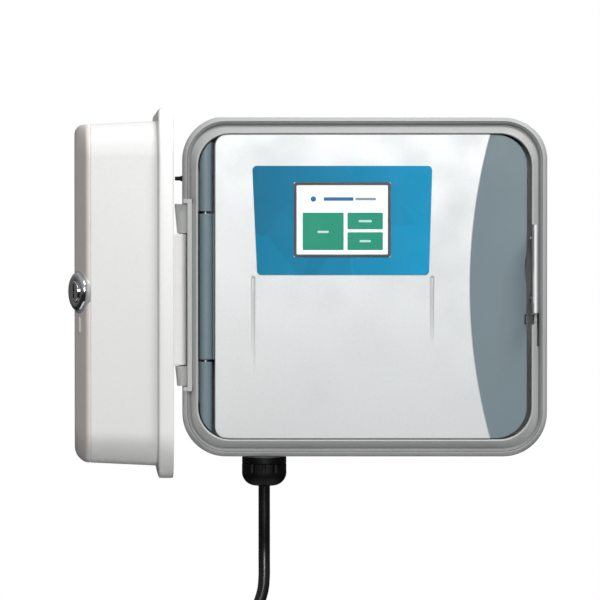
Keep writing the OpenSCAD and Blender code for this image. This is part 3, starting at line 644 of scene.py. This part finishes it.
def smoothed(points, parts=4):
    """A Catmull-Rom curve through given points."""
    result = []
    for i in range(len(points) - 1):
        before, here = Vector(points[max(i - 1, 0)]), Vector(points[i])
        there, after = Vector(points[i + 1]), Vector(points[min(i + 2, len(points) - 1)])
        for part in range(parts):
            t = part / parts
            result.append(0.5 * (2 * here + (there - before) * t
                                 + (2 * before - 5 * here + 4 * there - after) * t ** 2
                                 + (3 * here - before - 3 * there + after) * t ** 3))
    result.append(Vector(points[-1]))
    return result


def make_cord(paints):
    """The whole cord as one tube, from inside the gland to the plug."""
    route = smoothed(LEAD_ROUTE + coil_route() + END_ROUTE, 3)
    curve = bpy.data.curves.new("power_cord_line", "CURVE")
    curve.dimensions = "3D"
    curve.bevel_depth = CORD_D / 2
    curve.bevel_resolution = 5
    curve.use_fill_caps = True
    spline = curve.splines.new("POLY")
    spline.points.add(len(route) - 1)
    for point, spot in zip(spline.points, route):
        point.co = (*(spot * MM), 1)
    spline.use_smooth = True
    curve.materials.append(paints["cord_jacket"].material)
    cord = add_object("power_cord_line", curve)
    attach(cord, "cabinet")
    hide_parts("power_cord", "cord_coil")
    return cord


def make_tie(paints):
    """A strap round the coil's turns, with its end lapped over."""
    low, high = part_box("cord_tie")
    form = bmesh.new()
    mid_y, mid_z = (low.y + high.y) / 2, (low.z + high.z) / 2
    half_y, half_z = (high.y - low.y) / 2, (high.z - low.z) / 2
    thick = 1.0 * MM

    def strap(grow, x, radius):
        ring = corner_ring(-half_y - grow, half_y + grow, -half_z - grow, half_z + grow,
                           radius + grow, 0, 8)
        return [Vector((x, mid_y + point.x, mid_z + point.z)) for point in ring]

    edge = 0.3 * MM
    rings = []
    for grow, x in ((-thick, low.x + edge), (-thick + edge, low.x), (-edge, low.x),
                    (0, low.x + edge), (0, high.x - edge), (-edge, high.x),
                    (-thick + edge, high.x), (-thick, high.x - edge)):
        rings.append(strap(grow, x, 5 * MM))
    loft(form, rings, closed=True)
    lap = add_box(form, (low.x + 0.4 * MM, low.y - 0.9 * MM, mid_z - 7 * MM),
                  (high.x - 0.4 * MM, low.y + 0.2 * MM, mid_z + 8 * MM))
    soften_box(form, lap, 0.35 * MM)
    return place("cord_tie_strap", form, paints["tie_strap"], "cabinet", ["cord_tie"])


def make_plug(paints):
    """The moulded plug: a ribbed strain relief that widens into a gripped body."""
    low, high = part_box("plug_body")
    centre_x, centre_y = (low.x + high.x) / 2, (low.y + high.y) / 2
    half_x, half_y = (high.x - low.x) / 2, (high.y - low.y) / 2
    body_height = 28 * MM
    body_top = low.z + body_height
    form = bmesh.new()
    rows = []

    def row(wide, deep, radius, z):
        ring = corner_ring(-wide, wide, -deep, deep, min(radius, wide, deep), 0, 8)
        rows.append([Vector((centre_x + p.x, centre_y + p.z, z)) for p in ring])

    row(4.05 * MM, 4.05 * MM, 4.05 * MM, high.z)
    relief = high.z - body_top
    ribs = 6
    for rib in range(ribs):
        for part, grow in ((0.12, 0.0), (0.2, 0.6), (0.62, 0.7), (0.7, 0.0)):
            share = (rib + part) / ribs
            radius = (4.4 + 2.4 * share + grow) * MM
            row(radius, radius, radius, high.z - relief * share * 0.92)
    row(7.4 * MM, 7.4 * MM, 7.4 * MM, body_top + 1.2 * MM)
    for drop, share in ((0.0, 0.82), (0.6, 0.93), (2.0, 1.0), (9.0, 0.985), (13.0, 0.93),
                        (17.0, 0.93), (21.0, 0.985), (24.0, 1.0), (27.2, 1.0), (28.0, 0.96)):
        row(half_x * share, half_y * share, 8 * MM * share, body_top - drop * MM)
    loft(form, rows, caps=(True, True))
    for side in (-1, 1):
        for k in range(5):
            z = body_top - (10.4 + 2.2 * k) * MM
            grip = add_box(form, (centre_x - 6 * MM, centre_y + side * (half_y - 1.4 * MM), z),
                           (centre_x + 6 * MM, centre_y + side * (half_y - 0.3 * MM),
                            z + 1.1 * MM))
            soften_box(form, grip, 0.3 * MM)
    return place("plug_moulding", form, paints["black_nylon"], "cabinet", ["plug_body"])


# ---------- cabinet ----------


LIP = (114 * MM, 104.5 * MM, 22 * MM)  # the opening's half width, half height and corner
LIP_BACK = RIM_Y + 7.6 * MM
NOTCH_IN = HINGE.x + 4.8 * MM  # the notch in the left rim for the door's hinge
NOTCH_LOW, NOTCH_HIGH = -68.5 * MM, 57 * MM
NOTCH_BACK = -32 * MM


def rim_outline(inset, depth, fillet=0.0):
    """The cabinet's outline less an inset in mm, at one depth."""
    inset *= MM
    return (HALF_W - inset, HALF_H - inset, CORNER_R - inset, depth, fillet * MM)


def opening(grow, depth, fillet=0.0):
    """The opening inside the rim, grown by some mm, at one depth."""
    grow *= MM
    return (LIP[0] + grow, LIP[1] + grow, LIP[2] + grow, depth, fillet * MM)


def tub_form():
    """The tub with its rim, the gasket's groove and the lip behind it."""
    y = RIM_Y
    wall_in = y + 9 * MM
    groove = y + 6.2 * MM
    profile = rounded_profile([
        rim_outline(6, 0), rim_outline(0, 0, 1.6), rim_outline(0, y + 4.6 * MM, 2.2),
        rim_outline(3.5, y + 0.9 * MM, 0.9), rim_outline(3.7, groove, 0.2),
        rim_outline(5.4, groove, 0.2), opening(0.9, y + 0.2 * MM, 0.7),
        opening(0, y + 1.1 * MM, 0.3), opening(0, LIP_BACK, 0.5), opening(2.2, LIP_BACK),
        opening(2.2, wall_in), opening(4.2, wall_in), opening(4.2, LIP_BACK),
        rim_outline(3, LIP_BACK), rim_outline(3, -WALL, 1.5), rim_outline(16, -WALL),
    ], steps=5)
    form = bmesh.new()
    loft(form, profile_rings(profile, 14), caps=(True, True))
    return form


def cabinet_holes(keeper_low, keeper_high):
    """What is cut out of the tub: the hinge's notch, the holes, the keeper's and latch's slots."""
    y = RIM_Y
    tools = bmesh.new()
    add_box(tools, (-HALF_W - 1 * MM, y - 1 * MM, NOTCH_LOW), (NOTCH_IN, NOTCH_BACK, NOTCH_HIGH))
    for x, radius in FLOOR_HOLES:
        add_turned(tools, [(radius * MM, -5 * MM), (radius * MM, 5 * MM)],
                   (x * MM, FLOOR_HOLE_Y * MM, -HALF_H), (0, 0, 1))
    screw_x, screw_z = WALL_SCREW_AT
    back_holes = [(x, z, WALL_SCREW_R) for x in (-screw_x, screw_x) for z in (-screw_z, screw_z)]
    for x, z, radius in back_holes + [(0, KEYHOLE_Z, KEYHOLE_R)]:
        add_turned(tools, [(radius * MM, -2 * MM), (radius * MM, 5 * MM)], (x * MM, 0, z * MM),
                   (0, -1, 0), 24)
    slot_x, slot_y = LIP[0] - 1 * MM, LIP_BACK + 0.5 * MM
    add_box(tools, (slot_x, y - 1 * MM, keeper_low.z - 0.2 * MM),
            (LIP[0] + 2.3 * MM, slot_y, keeper_high.z + 0.2 * MM))
    add_box(tools, (slot_x, y - 1 * MM, keeper_low.z - 8.5 * MM),
            (LIP[0] + 3.2 * MM, slot_y, keeper_low.z - 1.2 * MM))
    latch_low, latch_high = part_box("panel_latch")
    add_box(tools, (slot_x, y + 3 * MM, latch_low.z - 1 * MM),
            (LIP[0] + 8 * MM, slot_y, latch_high.z + 1 * MM))
    return tools


def add_hinge_side(form):
    """The walls of the hinge's pocket, and the two tapered knuckles with their webs."""
    y = RIM_Y
    left = -HALF_W + 1 * MM
    low_end, high_end = NOTCH_LOW - WALL, NOTCH_HIGH + WALL
    pocket = (-118.2 * MM, -29 * MM)
    for low, high in (((left, NOTCH_BACK, low_end), (*pocket, high_end)),
                      ((NOTCH_IN, y + 0.6 * MM, low_end), (*pocket, high_end)),
                      ((left, y + 1 * MM, NOTCH_HIGH), (*pocket, high_end)),
                      ((left, y + 1 * MM, low_end), (*pocket, NOTCH_LOW))):
        add_box(form, low, high)
    soft = 0.5
    for low, high, low_r, high_r in ((36.5, 56.7, 2.6, 4.3), (-68.2, -54.5, 2.6, 3.9)):
        add_turned(form, [((low_r - soft) * MM, 0), (low_r * MM, soft * MM),
                          (high_r * MM, (high - low - soft) * MM),
                          ((high_r - soft) * MM, (high - low) * MM)],
                   (HINGE.x, HINGE.y, low * MM), (0, 0, 1))
        add_box(form, (HINGE.x, HINGE.y - 3.9 * MM, low * MM),
                (NOTCH_IN + 1 * MM, HINGE.y + 4.3 * MM, high * MM))


def make_cabinet(paints):
    keeper_low, keeper_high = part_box("lock_keeper")
    form = cut(tub_form(), cabinet_holes(keeper_low, keeper_high))
    add_hinge_side(form)
    board_low, board_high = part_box("board_screws")
    post_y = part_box("terminal_board")[1].y
    inset = 2.6 * MM  # half of a screw's head
    left, right = board_low.x + inset, board_high.x - inset
    low, high = board_low.z + inset, board_high.z - inset
    for x, z in ((left, low), (right, low), (right, high), (-15 * MM, -26 * MM)):
        add_turned(form, [(3.2 * MM, -WALL - post_y - 0.2 * MM), (3.2 * MM, 0)],
                   (x, post_y, z), (0, 1, 0), 28)
    add_box(form, (116.2 * MM, LIP_BACK - 0.2 * MM, keeper_low.z - 6.5 * MM),
            (118.2 * MM, -28 * MM, keeper_high.z + 5.5 * MM))
    place("cabinet_moulding", form, paints["cabinet_plastic"], "cabinet", ["cabinet_shell"])


def make_peg(paints):
    """The small stop on the cabinet's side, which the open door's flange rests near."""
    form = bmesh.new()
    add_turned(form, [(1.9 * MM, -1 * MM), (1.9 * MM, 1 * MM), (1.4 * MM, 1.5 * MM),
                      (1.4 * MM, 4.6 * MM), (1.0 * MM, 5 * MM)],
               (-HALF_W, RIM_Y + 8 * MM, 74 * MM), (-1, 0, 0), 24)
    place("door_stop_peg", form, paints["black_nylon"], "cabinet")


def make_gasket(paints):
    """The seal in the rim's groove, with a lip that leans outwards."""
    y = RIM_Y
    form = bmesh.new()
    profile = rounded_profile([
        rim_outline(3.65, y + 6 * MM), rim_outline(3.65, y + 2.0 * MM, 0.3),
        rim_outline(4.3, y + 1.6 * MM, 0.5), rim_outline(5.9, y + 4.6 * MM, 0.4),
        rim_outline(5.35, y + 6 * MM),
    ], closed=True, steps=2)
    loft(form, profile_rings(profile, 14), closed=True)
    place("rim_seal", form, paints["gasket_rubber"], "cabinet", ["rim_gasket"])


# ---------- outer door ----------


def swing_open(form):
    """Turns what was drawn on the closed door to the photo's open pose."""
    turn = Matrix.Rotation(-DOOR_OPEN, 4, "Z")
    bmesh.ops.transform(form, matrix=Matrix.Translation(HINGE) @ turn @ Matrix.Translation(-HINGE),
                        verts=form.verts)


DOOR_BACK = RIM_Y - 0.5 * MM
FLANGE_FRONT = DOOR_BACK - 9.7 * MM
SEAM_Y = FLANGE_FRONT - 42.3 * MM
BEVEL_D = 10 * MM
BEVEL_ANGLE = math.radians(24)
COVER_W, COVER_H = 118 * MM, 106.5 * MM  # half of the front cover at its seam


def make_door_shell(paints):
    """The door's flange and side walls, with the tongue that presses on the gasket."""

    def edge(wide, high, radius, depth, fillet=0.0):
        return (wide * MM, high * MM, radius * MM, depth, fillet * MM)

    full = (HALF_W / MM, HALF_H / MM, 30)
    shell_in = FLANGE_FRONT + 2.5 * MM
    profile = rounded_profile([
        edge(*full, DOOR_BACK, 1.0), edge(*full, FLANGE_FRONT, 1.6),
        edge(120, 108.5, 22, FLANGE_FRONT, 1.2), edge(118, 106.5, 21, SEAM_Y, 0.7),
        edge(115.5, 104, 18.5, SEAM_Y, 0.3), edge(117.5, 106, 19.5, shell_in, 1.0),
        edge(122, 113.5, 27, shell_in, 1.0), edge(122, 113.5, 27, DOOR_BACK, 0.4),
    ], closed=True, steps=5)
    form = bmesh.new()
    loft(form, profile_rings(profile, 14), closed=True)
    root, tip = shell_in - 0.5 * MM, DOOR_BACK - 0.1 * MM
    outer, inner = (120.3, 111.8, 25.5), (118.8, 110.3, 24)
    tongue = rounded_profile([edge(*outer, root), edge(*outer, tip, 0.4), edge(*inner, tip, 0.4),
                              edge(*inner, root)], closed=True, steps=3)
    loft(form, profile_rings(tongue, 14), closed=True)
    swing_open(form)
    place("door_moulding", form, paints["door_plastic"], "outer_door", ["door_shell"])


COVER_ROUND = 3.5 * MM


def bevel_in(depth):
    """How far the cover's latch side has drawn in, at a depth past the seam: a rounding, then
    the bevel."""
    end = math.pi / 2 - BEVEL_ANGLE
    if depth < COVER_ROUND * math.sin(end):
        return COVER_ROUND * (1 - math.cos(math.asin(depth / COVER_ROUND)))
    start = COVER_ROUND * (1 - math.cos(end))
    return start + (depth - COVER_ROUND * math.sin(end)) / math.tan(BEVEL_ANGLE)


def cover_rings(inset):
    """Rings of the front cover from its seam to its face, less an inset all round."""
    side, top = COVER_W - inset, COVER_H - inset
    deep = BEVEL_D - inset
    round_top, round_low = max(6 * MM - inset, 1 * MM), max(9 * MM - inset, 1 * MM)
    levels = [0.0, 0.35, 0.8, 1.3, 1.8, 2.3, 2.8, 3.2, 4.2, 5.2, 6.2, 7.2, 8.2, 9.0, 9.5, 9.85,
              10.0]
    rings = []

    def drawn_in(radius, depth):
        rise = depth - (deep - radius)
        return 0.0 if rise <= 0 else radius - math.sqrt(max(radius ** 2 - rise ** 2, 0.0))

    for level in levels:
        depth = level * MM * deep / BEVEL_D
        edge = max(0.7 - level, 0.0) * 0.6 * MM if not inset else 0.0
        ease = max(level - 9.0, 0.0)
        right = side - bevel_in(depth) - ease ** 2 * 0.9 * MM
        rings.append(corner_ring(-side + drawn_in(round_top, depth) + edge, right,
                                 -top + drawn_in(round_low, depth) + edge,
                                 top - drawn_in(round_top, depth) - edge,
                                 21 * MM - inset, SEAM_Y - depth, 14))
    return rings


def lock_frame():
    """The lock's place and the direction into the door, with the door open, then closed."""
    run = BEVEL_D / math.tan(BEVEL_ANGLE)
    centre = Vector((COVER_W - run / 2, SEAM_Y - BEVEL_D / 2, 1.5 * MM))
    inward = Matrix.Rotation(BEVEL_ANGLE, 3, "Z") @ Vector((0, 1, 0))
    swung = Matrix.Rotation(-DOOR_OPEN, 3, "Z")
    return HINGE + swung @ (centre - HINGE), swung @ inward, centre, inward


def lock_mark(centre, inward):
    """The raised upright bar below the lock."""
    mark = bmesh.new()
    half = 3.5 * MM
    down = Vector((0, 0, -21 * MM))
    across = Matrix.Rotation(BEVEL_ANGLE, 3, "Z")
    rings = []
    for grow, rise in ((1.5, -0.6), (1.5, -2.3), (1.1, -2.7)):
        ring = []
        for k in range(32):
            angle = 2 * math.pi * k / 32
            z = math.sin(angle) * grow * MM + (half if math.sin(angle) >= 0 else -half)
            side = across @ Vector((math.cos(angle) * grow * MM, 0, 0))
            ring.append(centre + down + side + inward * (rise * MM) + Vector((0, 0, z)))
        rings.append(ring)
    loft(mark, rings, caps=(True, True))
    bmesh.ops.recalc_face_normals(mark, faces=mark.faces)
    return mesh_of("mark", mark)


def make_door_front(paints):
    """The front cover, with the lock's hole through its bevel."""
    form = bmesh.new()
    outer = cover_rings(0)
    inner = cover_rings(3 * MM)
    loft(form, inner[::-1] + outer, caps=(True, True))
    _, _, centre, inward = lock_frame()
    tools = bmesh.new()
    add_turned(tools, [(9.5 * MM, -9 * MM), (9.5 * MM, 9 * MM)], centre, inward, 48)
    form = cut(form, tools)
    mesh = lock_mark(centre, inward)
    form.from_mesh(mesh)
    bpy.data.meshes.remove(mesh)
    swing_open(form)
    place("cover_moulding", form, paints["door_front_plastic"], "outer_door", ["door_front"],
          20)


def make_lock(paints):
    """The cam lock's bezel ring, and its chromed barrel with a turned head."""
    centre, inward, _, _ = lock_frame()
    form = bmesh.new()
    add_ring_turned(form, [(9.35 * MM, 0), (13.6 * MM, 0), (13.6 * MM, -1.9 * MM),
                           (13.4 * MM, -2.4 * MM), (12.9 * MM, -2.8 * MM), (12.2 * MM, -2.9 * MM),
                           (9.35 * MM, -2.9 * MM)], centre, inward)
    place("lock_ring", form, paints["bezel_plastic"], "outer_door", ["lock_bezel"])
    form = bmesh.new()
    add_ring_turned(form, [(6.9 * MM, 30.8 * MM), (9.3 * MM, 31 * MM), (9.3 * MM, -2.8 * MM),
                           (12 * MM, -2.9 * MM), (12 * MM, -3.5 * MM), (11.6 * MM, -4.4 * MM),
                           (10.6 * MM, -5.1 * MM), (9.3 * MM, -5.4 * MM), (7.4 * MM, -5.3 * MM),
                           (6.9 * MM, -4.9 * MM)], centre, inward, 64)
    place("lock_head", form, paints["chrome"], "outer_door", ["lock_housing"])


# ---------- screen ----------


def add_tile(form, left, right, low, high, y, index, depth=0.08 * MM):
    """A flat rounded area of the screen's picture."""
    radius = 0.5 * MM
    start = len(form.faces)
    rings = [corner_ring(left, right, low, high, radius, y + depth, 3),
             corner_ring(left, right, low, high, radius, y, 3)]
    loft(form, rings, caps=(True, True))
    form.faces.ensure_lookup_table()
    for face in form.faces[start:]:
        face.material_index = index


def make_screen(paints, extra):
    """The touch panel: a white page with three green areas and a plain heading."""
    low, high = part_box("touch_screen")
    form = bmesh.new()
    inset = 0.4 * MM
    corner = 0.8 * MM
    page = [corner_ring(low.x, high.x, low.z, high.z, corner, high.y, 3),
            corner_ring(low.x, high.x, low.z, high.z, corner, low.y + 0.3 * MM, 3),
            corner_ring(low.x + inset, high.x - inset, low.z + inset, high.z - inset, 0.6 * MM,
                        low.y, 3)]
    loft(form, page, caps=(True, True))
    wide, tall = high.x - low.x, high.z - low.z
    front = low.y - 0.06 * MM

    def area(left, right, bottom, top, index, lift=0.0):
        """One area, by its shares of the screen's width and height."""
        add_tile(form, low.x + wide * left, low.x + wide * right, low.z + tall * bottom,
                 low.z + tall * top, front - lift * MM, index)

    area(0.075, 0.515, 0.075, 0.60, 1)
    area(0.555, 0.935, 0.365, 0.60, 1)
    area(0.555, 0.935, 0.075, 0.325, 1)
    area(0.235, 0.355, 0.315, 0.345, 2, 0.03)
    area(0.675, 0.815, 0.465, 0.495, 2, 0.03)
    area(0.685, 0.805, 0.185, 0.215, 2, 0.03)
    area(0.30, 0.62, 0.765, 0.815, 3)
    area(0.64, 0.86, 0.77, 0.81, 4)
    obj = place("screen_picture", form, paints["screen_glass"], "control_panel",
                ["touch_screen"])
    for key in ("tile", "tile_bar", "page_blue", "page_grey"):
        obj.data.materials.append(extra[key].material)
    dot = bmesh.new()
    add_turned(dot, [(1.7 * MM, 0.08 * MM), (1.9 * MM, 0.02 * MM), (1.7 * MM, 0)],
               (low.x + wide * 0.19, front, low.z + tall * 0.79), (0, 1, 0), 32)
    place("screen_dot", dot, extra["page_blue"], "control_panel")


# ---------- panel face ----------

FIELD_RAISED = 0.4 * MM
# Creases below the label: (x, lowest z) in mm.
CREASES = ((-76.4, -62), (46.0, -46))
CREASE_TOP = 7
CREASE_DEPTH = 0.75 * MM
CREASE_WIDTH = 0.85 * MM
CREASE_REACH = 3 * MM  # how far the finer mesh goes to each side of a crease
CREASE_COLUMNS, COLUMN = 7, 0.4 * MM  # columns of faces to each side, and their width
CREASE_ROWS, ROW = 18, 4
IN_PLANE = 1e-6


def crease_face(form):
    """Levels the CAD's raised field and draws two soft creases that fade out downwards."""
    face_y = FACE_LOW.y + FIELD_RAISED
    for vert in form.verts:
        if vert.co.y < face_y:
            vert.co.y = face_y
    merge_flat(form, IN_PLANE)

    low_z = min(low for _, low in CREASES) * MM
    top_z = CREASE_TOP * MM

    def split(at, normal, middle=None, reach=1.0):
        """Cuts the flat face by a plane, only beside one crease where that is given."""
        faces = []
        for face in form.faces:
            centre = face.calc_center_median()
            if any(abs(v.co.y - face_y) > IN_PLANE for v in face.verts):
                continue
            if middle is None or (abs(centre.x - middle) < reach and low_z < centre.z < top_z):
                faces.append(face)
        edges = list({e for f in faces for e in f.edges})
        verts = list({v for f in faces for v in f.verts})
        bmesh.ops.bisect_plane(form, geom=faces + edges + verts, plane_co=at, plane_no=normal,
                               dist=1e-7)

    sideways, upright = (1, 0, 0), (0, 0, 1)
    split((0, 0, top_z), upright)
    split((0, 0, low_z), upright)
    for middle in (x * MM for x, _ in CREASES):
        split((middle - CREASE_REACH, 0, 0), sideways, middle)
        split((middle + CREASE_REACH, 0, 0), sideways, middle)
        for k in range(-CREASE_COLUMNS, CREASE_COLUMNS + 1):
            split((middle + k * COLUMN, 0, 0), sideways, middle, CREASE_REACH)
        for k in range(CREASE_ROWS):
            split((0, 0, top_z - (ROW * k + 0.4) * MM), upright, middle, CREASE_REACH)
    for vert in form.verts:
        if abs(vert.co.y - face_y) > IN_PLANE:
            continue
        for crease_x, crease_low in CREASES:
            off = (vert.co.x - crease_x * MM) / CREASE_WIDTH
            fade = (vert.co.z / MM - crease_low) / (CREASE_TOP - crease_low)
            if abs(off) < 2.8 and fade > 0 and vert.co.z < top_z - 0.2 * MM:
                vert.co.y += CREASE_DEPTH * math.exp(-off ** 2) * fade
    return form


def part_from_barrel(form):
    """Opens the dark gap between the hinge barrel and the silver face."""
    tools = bmesh.new()
    add_box(tools, (FACE_LOW.x - 1.9 * MM, FACE_LOW.y - 3 * MM, -64 * MM),
            (FACE_LOW.x - 0.15 * MM, FACE_LOW.y + 5 * MM, 62 * MM))
    return cut(form, tools)


# ---------- wires and ribbon ----------


def colour_parts(obj, paints):
    """Gives each loose part of a mesh its own material, from the highest down."""
    form = bmesh.new()
    form.from_mesh(obj.data)
    left = set(form.verts)
    groups = []
    while left:
        stack, group = [left.pop()], set()
        while stack:
            vert = stack.pop()
            group.add(vert)
            for edge in vert.link_edges:
                other = edge.other_vert(vert)
                if other in left:
                    left.discard(other)
                    stack.append(other)
        groups.append(group)
    groups.sort(key=lambda g: sum(v.co.z for v in g) / len(g), reverse=True)
    obj.data.materials.clear()
    for i, group in enumerate(groups):
        for face in {f for v in group for f in v.link_faces}:
            face.material_index = i % len(paints)
    for paint in paints:
        obj.data.materials.append(paint.material)
    form.to_mesh(obj.data)
    form.free()


# The ribbon's middle as (x, y), in mm
RIBBON_ROUTE = [(-24, -13), (-34, -9), (-60, -7.5), (-84, -8), (-95, -11), (-99, -16),
                (-97, -20.5), (-92.5, -23), (-88, -25.5), (-85, -29)]
RIBBON_WIRES, RIBBON_HALF = 10, 0.4


def make_ribbon(paints):
    """The flat cable from the terminal board to the panel, along a curved route."""
    low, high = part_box("ribbon_cable")
    line = smoothed([(x, y, 0) for x, y in RIBBON_ROUTE], 6)
    form = bmesh.new()
    count = RIBBON_WIRES * 4
    sections = []
    for k in range(len(line)):
        along = (line[min(k + 1, len(line) - 1)] - line[max(k - 1, 0)]).normalized()
        side = Vector((-along.y, along.x, 0))
        section = []
        for face in (1, -1):
            for step in range(count + 1) if face > 0 else range(count, -1, -1):
                share = step / count
                wave = abs(math.sin(math.pi * share * RIBBON_WIRES))
                thick = RIBBON_HALF * (0.55 + 0.45 * wave)
                point = (line[k] + side * thick * face) * MM
                section.append(Vector((point.x, point.y, low.z + (high.z - low.z) * share)))
        sections.append(section)
    loft(form, sections, caps=(True, True))
    bmesh.ops.recalc_face_normals(form, faces=form.faces)
    mesh = mesh_of("ribbon_flat_cable", form)
    finish_mesh(mesh, 50)
    mesh.materials.append(paints["ribbon_grey"].material)
    obj = add_object("ribbon_flat_cable", mesh)
    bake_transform(obj)
    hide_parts("ribbon_cable")


# ---------- studio ----------


def make_light(name, spot, aim, size, power):
    light = bpy.data.lights.new(name, "AREA")
    light.size = size
    light.energy = power
    obj = add_object(name, light)
    obj.location = spot
    obj.rotation_mode = "QUATERNION"
    obj.rotation_quaternion = (Vector(aim) - Vector(spot)).to_track_quat("-Z", "Y")


def make_world():
    """White to the camera; to the object, dim below and bright above."""
    world = bpy.data.worlds.new("studio")
    bpy.context.scene.world = world
    world.use_nodes = True
    tree = world.node_tree
    tree.nodes.clear()
    output = tree.nodes.new("ShaderNodeOutputWorld")
    seen = tree.nodes.new("ShaderNodeBackground")
    seen.inputs["Color"].default_value = (1, 1, 1, 1)
    lit = tree.nodes.new("ShaderNodeBackground")
    lit.inputs["Strength"].default_value = 0.42
    coords = tree.nodes.new("ShaderNodeTexCoord")
    split = tree.nodes.new("ShaderNodeSeparateXYZ")
    ramp = tree.nodes.new("ShaderNodeValToRGB")
    tree.links.new(coords.outputs["Generated"], split.inputs["Vector"])
    height = tree.nodes.new("ShaderNodeMapRange")
    height.inputs["From Min"].default_value = -1
    height.inputs["From Max"].default_value = 1
    tree.links.new(split.outputs["Z"], height.inputs["Value"])
    tree.links.new(height.outputs["Result"], ramp.inputs["Fac"])
    ramp.color_ramp.elements[0].position = 0.4
    ramp.color_ramp.elements[0].color = (0.05, 0.05, 0.05, 1)
    ramp.color_ramp.elements[1].position = 0.8
    ramp.color_ramp.elements[1].color = (1, 1, 1, 1)
    tree.links.new(ramp.outputs["Color"], lit.inputs["Color"])
    mix = tree.nodes.new("ShaderNodeMixShader")
    path = tree.nodes.new("ShaderNodeLightPath")
    tree.links.new(path.outputs["Is Camera Ray"], mix.inputs["Fac"])
    tree.links.new(lit.outputs["Background"], mix.inputs[1])
    tree.links.new(seen.outputs["Background"], mix.inputs[2])
    tree.links.new(mix.outputs["Shader"], output.inputs["Surface"])
    bpy.context.scene.view_settings.view_transform = "Standard"


def make_studio():
    """Soft studio light from above and in front, and a pale floor well below."""
    middle = (-0.02, -0.05, 0.02)
    make_light("key", (0.65, -1.05, 1.38), middle, 0.7, 20)
    make_light("front", (0.1, -2.7, 0.6), middle, 0.9, 31)
    make_light("back", (0.4, 1.8, 1.3), middle, 1.4, 22)
    make_world()

    form = bmesh.new()
    floor_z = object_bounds()[0].z - 1.2
    sides = 96
    rings = []
    for radius, drop in ((0.4, 0), (1.15, 0), (1.2, 0.004), (1.21, 0.02)):
        rings.append([Vector((radius * math.cos(2 * math.pi * k / sides),
                              radius * math.sin(2 * math.pi * k / sides) - 0.05,
                              floor_z - drop)) for k in range(sides)])
    loft(form, rings, caps=(True, False))
    mesh = mesh_of("floor", form)
    mesh.materials.append(floor_paint().material)
    floor = add_object("floor", mesh)


# ---------- the whole ----------

SOFTENED = {
    # node: (width in mm, segments)
    "lock_keeper": (0.35, 2), "keeper_rivets": (0.3, 3), "hinge_cap_top": (0.5, 2),
    "hinge_cap_bottom": (0.5, 2), "gland_nut": (0.5, 3), "gland_body": (0.4, 2),
    "gland_locknut": (0.4, 2), "mains_block": (0.5, 2), "transformer_core": (0.4, 2),
    "transformer_winding": (0.8, 3), "transformer_bracket": (0.25, 2), "board_screws": (0.2, 2),
    "terminal_blocks": (0.25, 2), "terminal_screws": (0.12, 2), "station_drivers": (0.2, 2),
    "fuse_clips": (0.15, 2), "ribbon_socket": (0.3, 2), "ribbon_header": (0.3, 2),
    "door_hinge_leaf": (0.8, 3), "lock_nut": (0.4, 2), "lock_plug": (0.4, 3),
    "lock_cam": (0.35, 2), "cam_screw": (0.25, 2), "swing_frame": (0.6, 3),
    "front_panel": (0.7, 4), "label_plate": (0.15, 2), "screen_bezel": (0.3, 3),
    "display_module": (0.4, 2), "rear_cover": (0.5, 2), "cover_screws": (0.2, 2),
    "panel_latch": (0.4, 2), "reset_button": (0.3, 3), "wifi_module": (0.25, 2),
    "board_chips": (0.2, 2), "cell_holder": (0.4, 2), "coin_cell": (0.4, 3),
    "plug_blades": (0.25, 2),
}

EDITS = {"front_panel": crease_face, "swing_frame": part_from_barrel}


def main():
    make_camera()
    paints, extra = make_paints()
    cord = make_cord(paints)
    make_tie(paints)
    plug = make_plug(paints)
    make_cabinet(paints)
    make_peg(paints)
    make_gasket(paints)
    make_door_shell(paints)
    make_door_front(paints)
    make_lock(paints)
    make_screen(paints, extra)
    make_ribbon(paints)
    slots = slot_of_nodes()
    for node, (width, segments) in SOFTENED.items():
        soften(node, width * MM, paints[slots[node]], segments,
                             edit=EDITS.get(node))
    for node, obj in frame["nodes"].items():
        obj.data.materials.clear()
        obj.data.materials.append(paints[slots[node]].material)
    # The first wire of each group keeps its slot's own colour.
    for node, keys in (("mains_wires", ("own", "wire_blue", "wire_green")),
                       ("secondary_wires", ("own", "wire_black"))):
        skin = copy_node(node, paints[slots[node]], 80)
        colour_parts(skin, [extra.get(key, paints[slots[node]]) for key in keys])
    make_studio()


main()
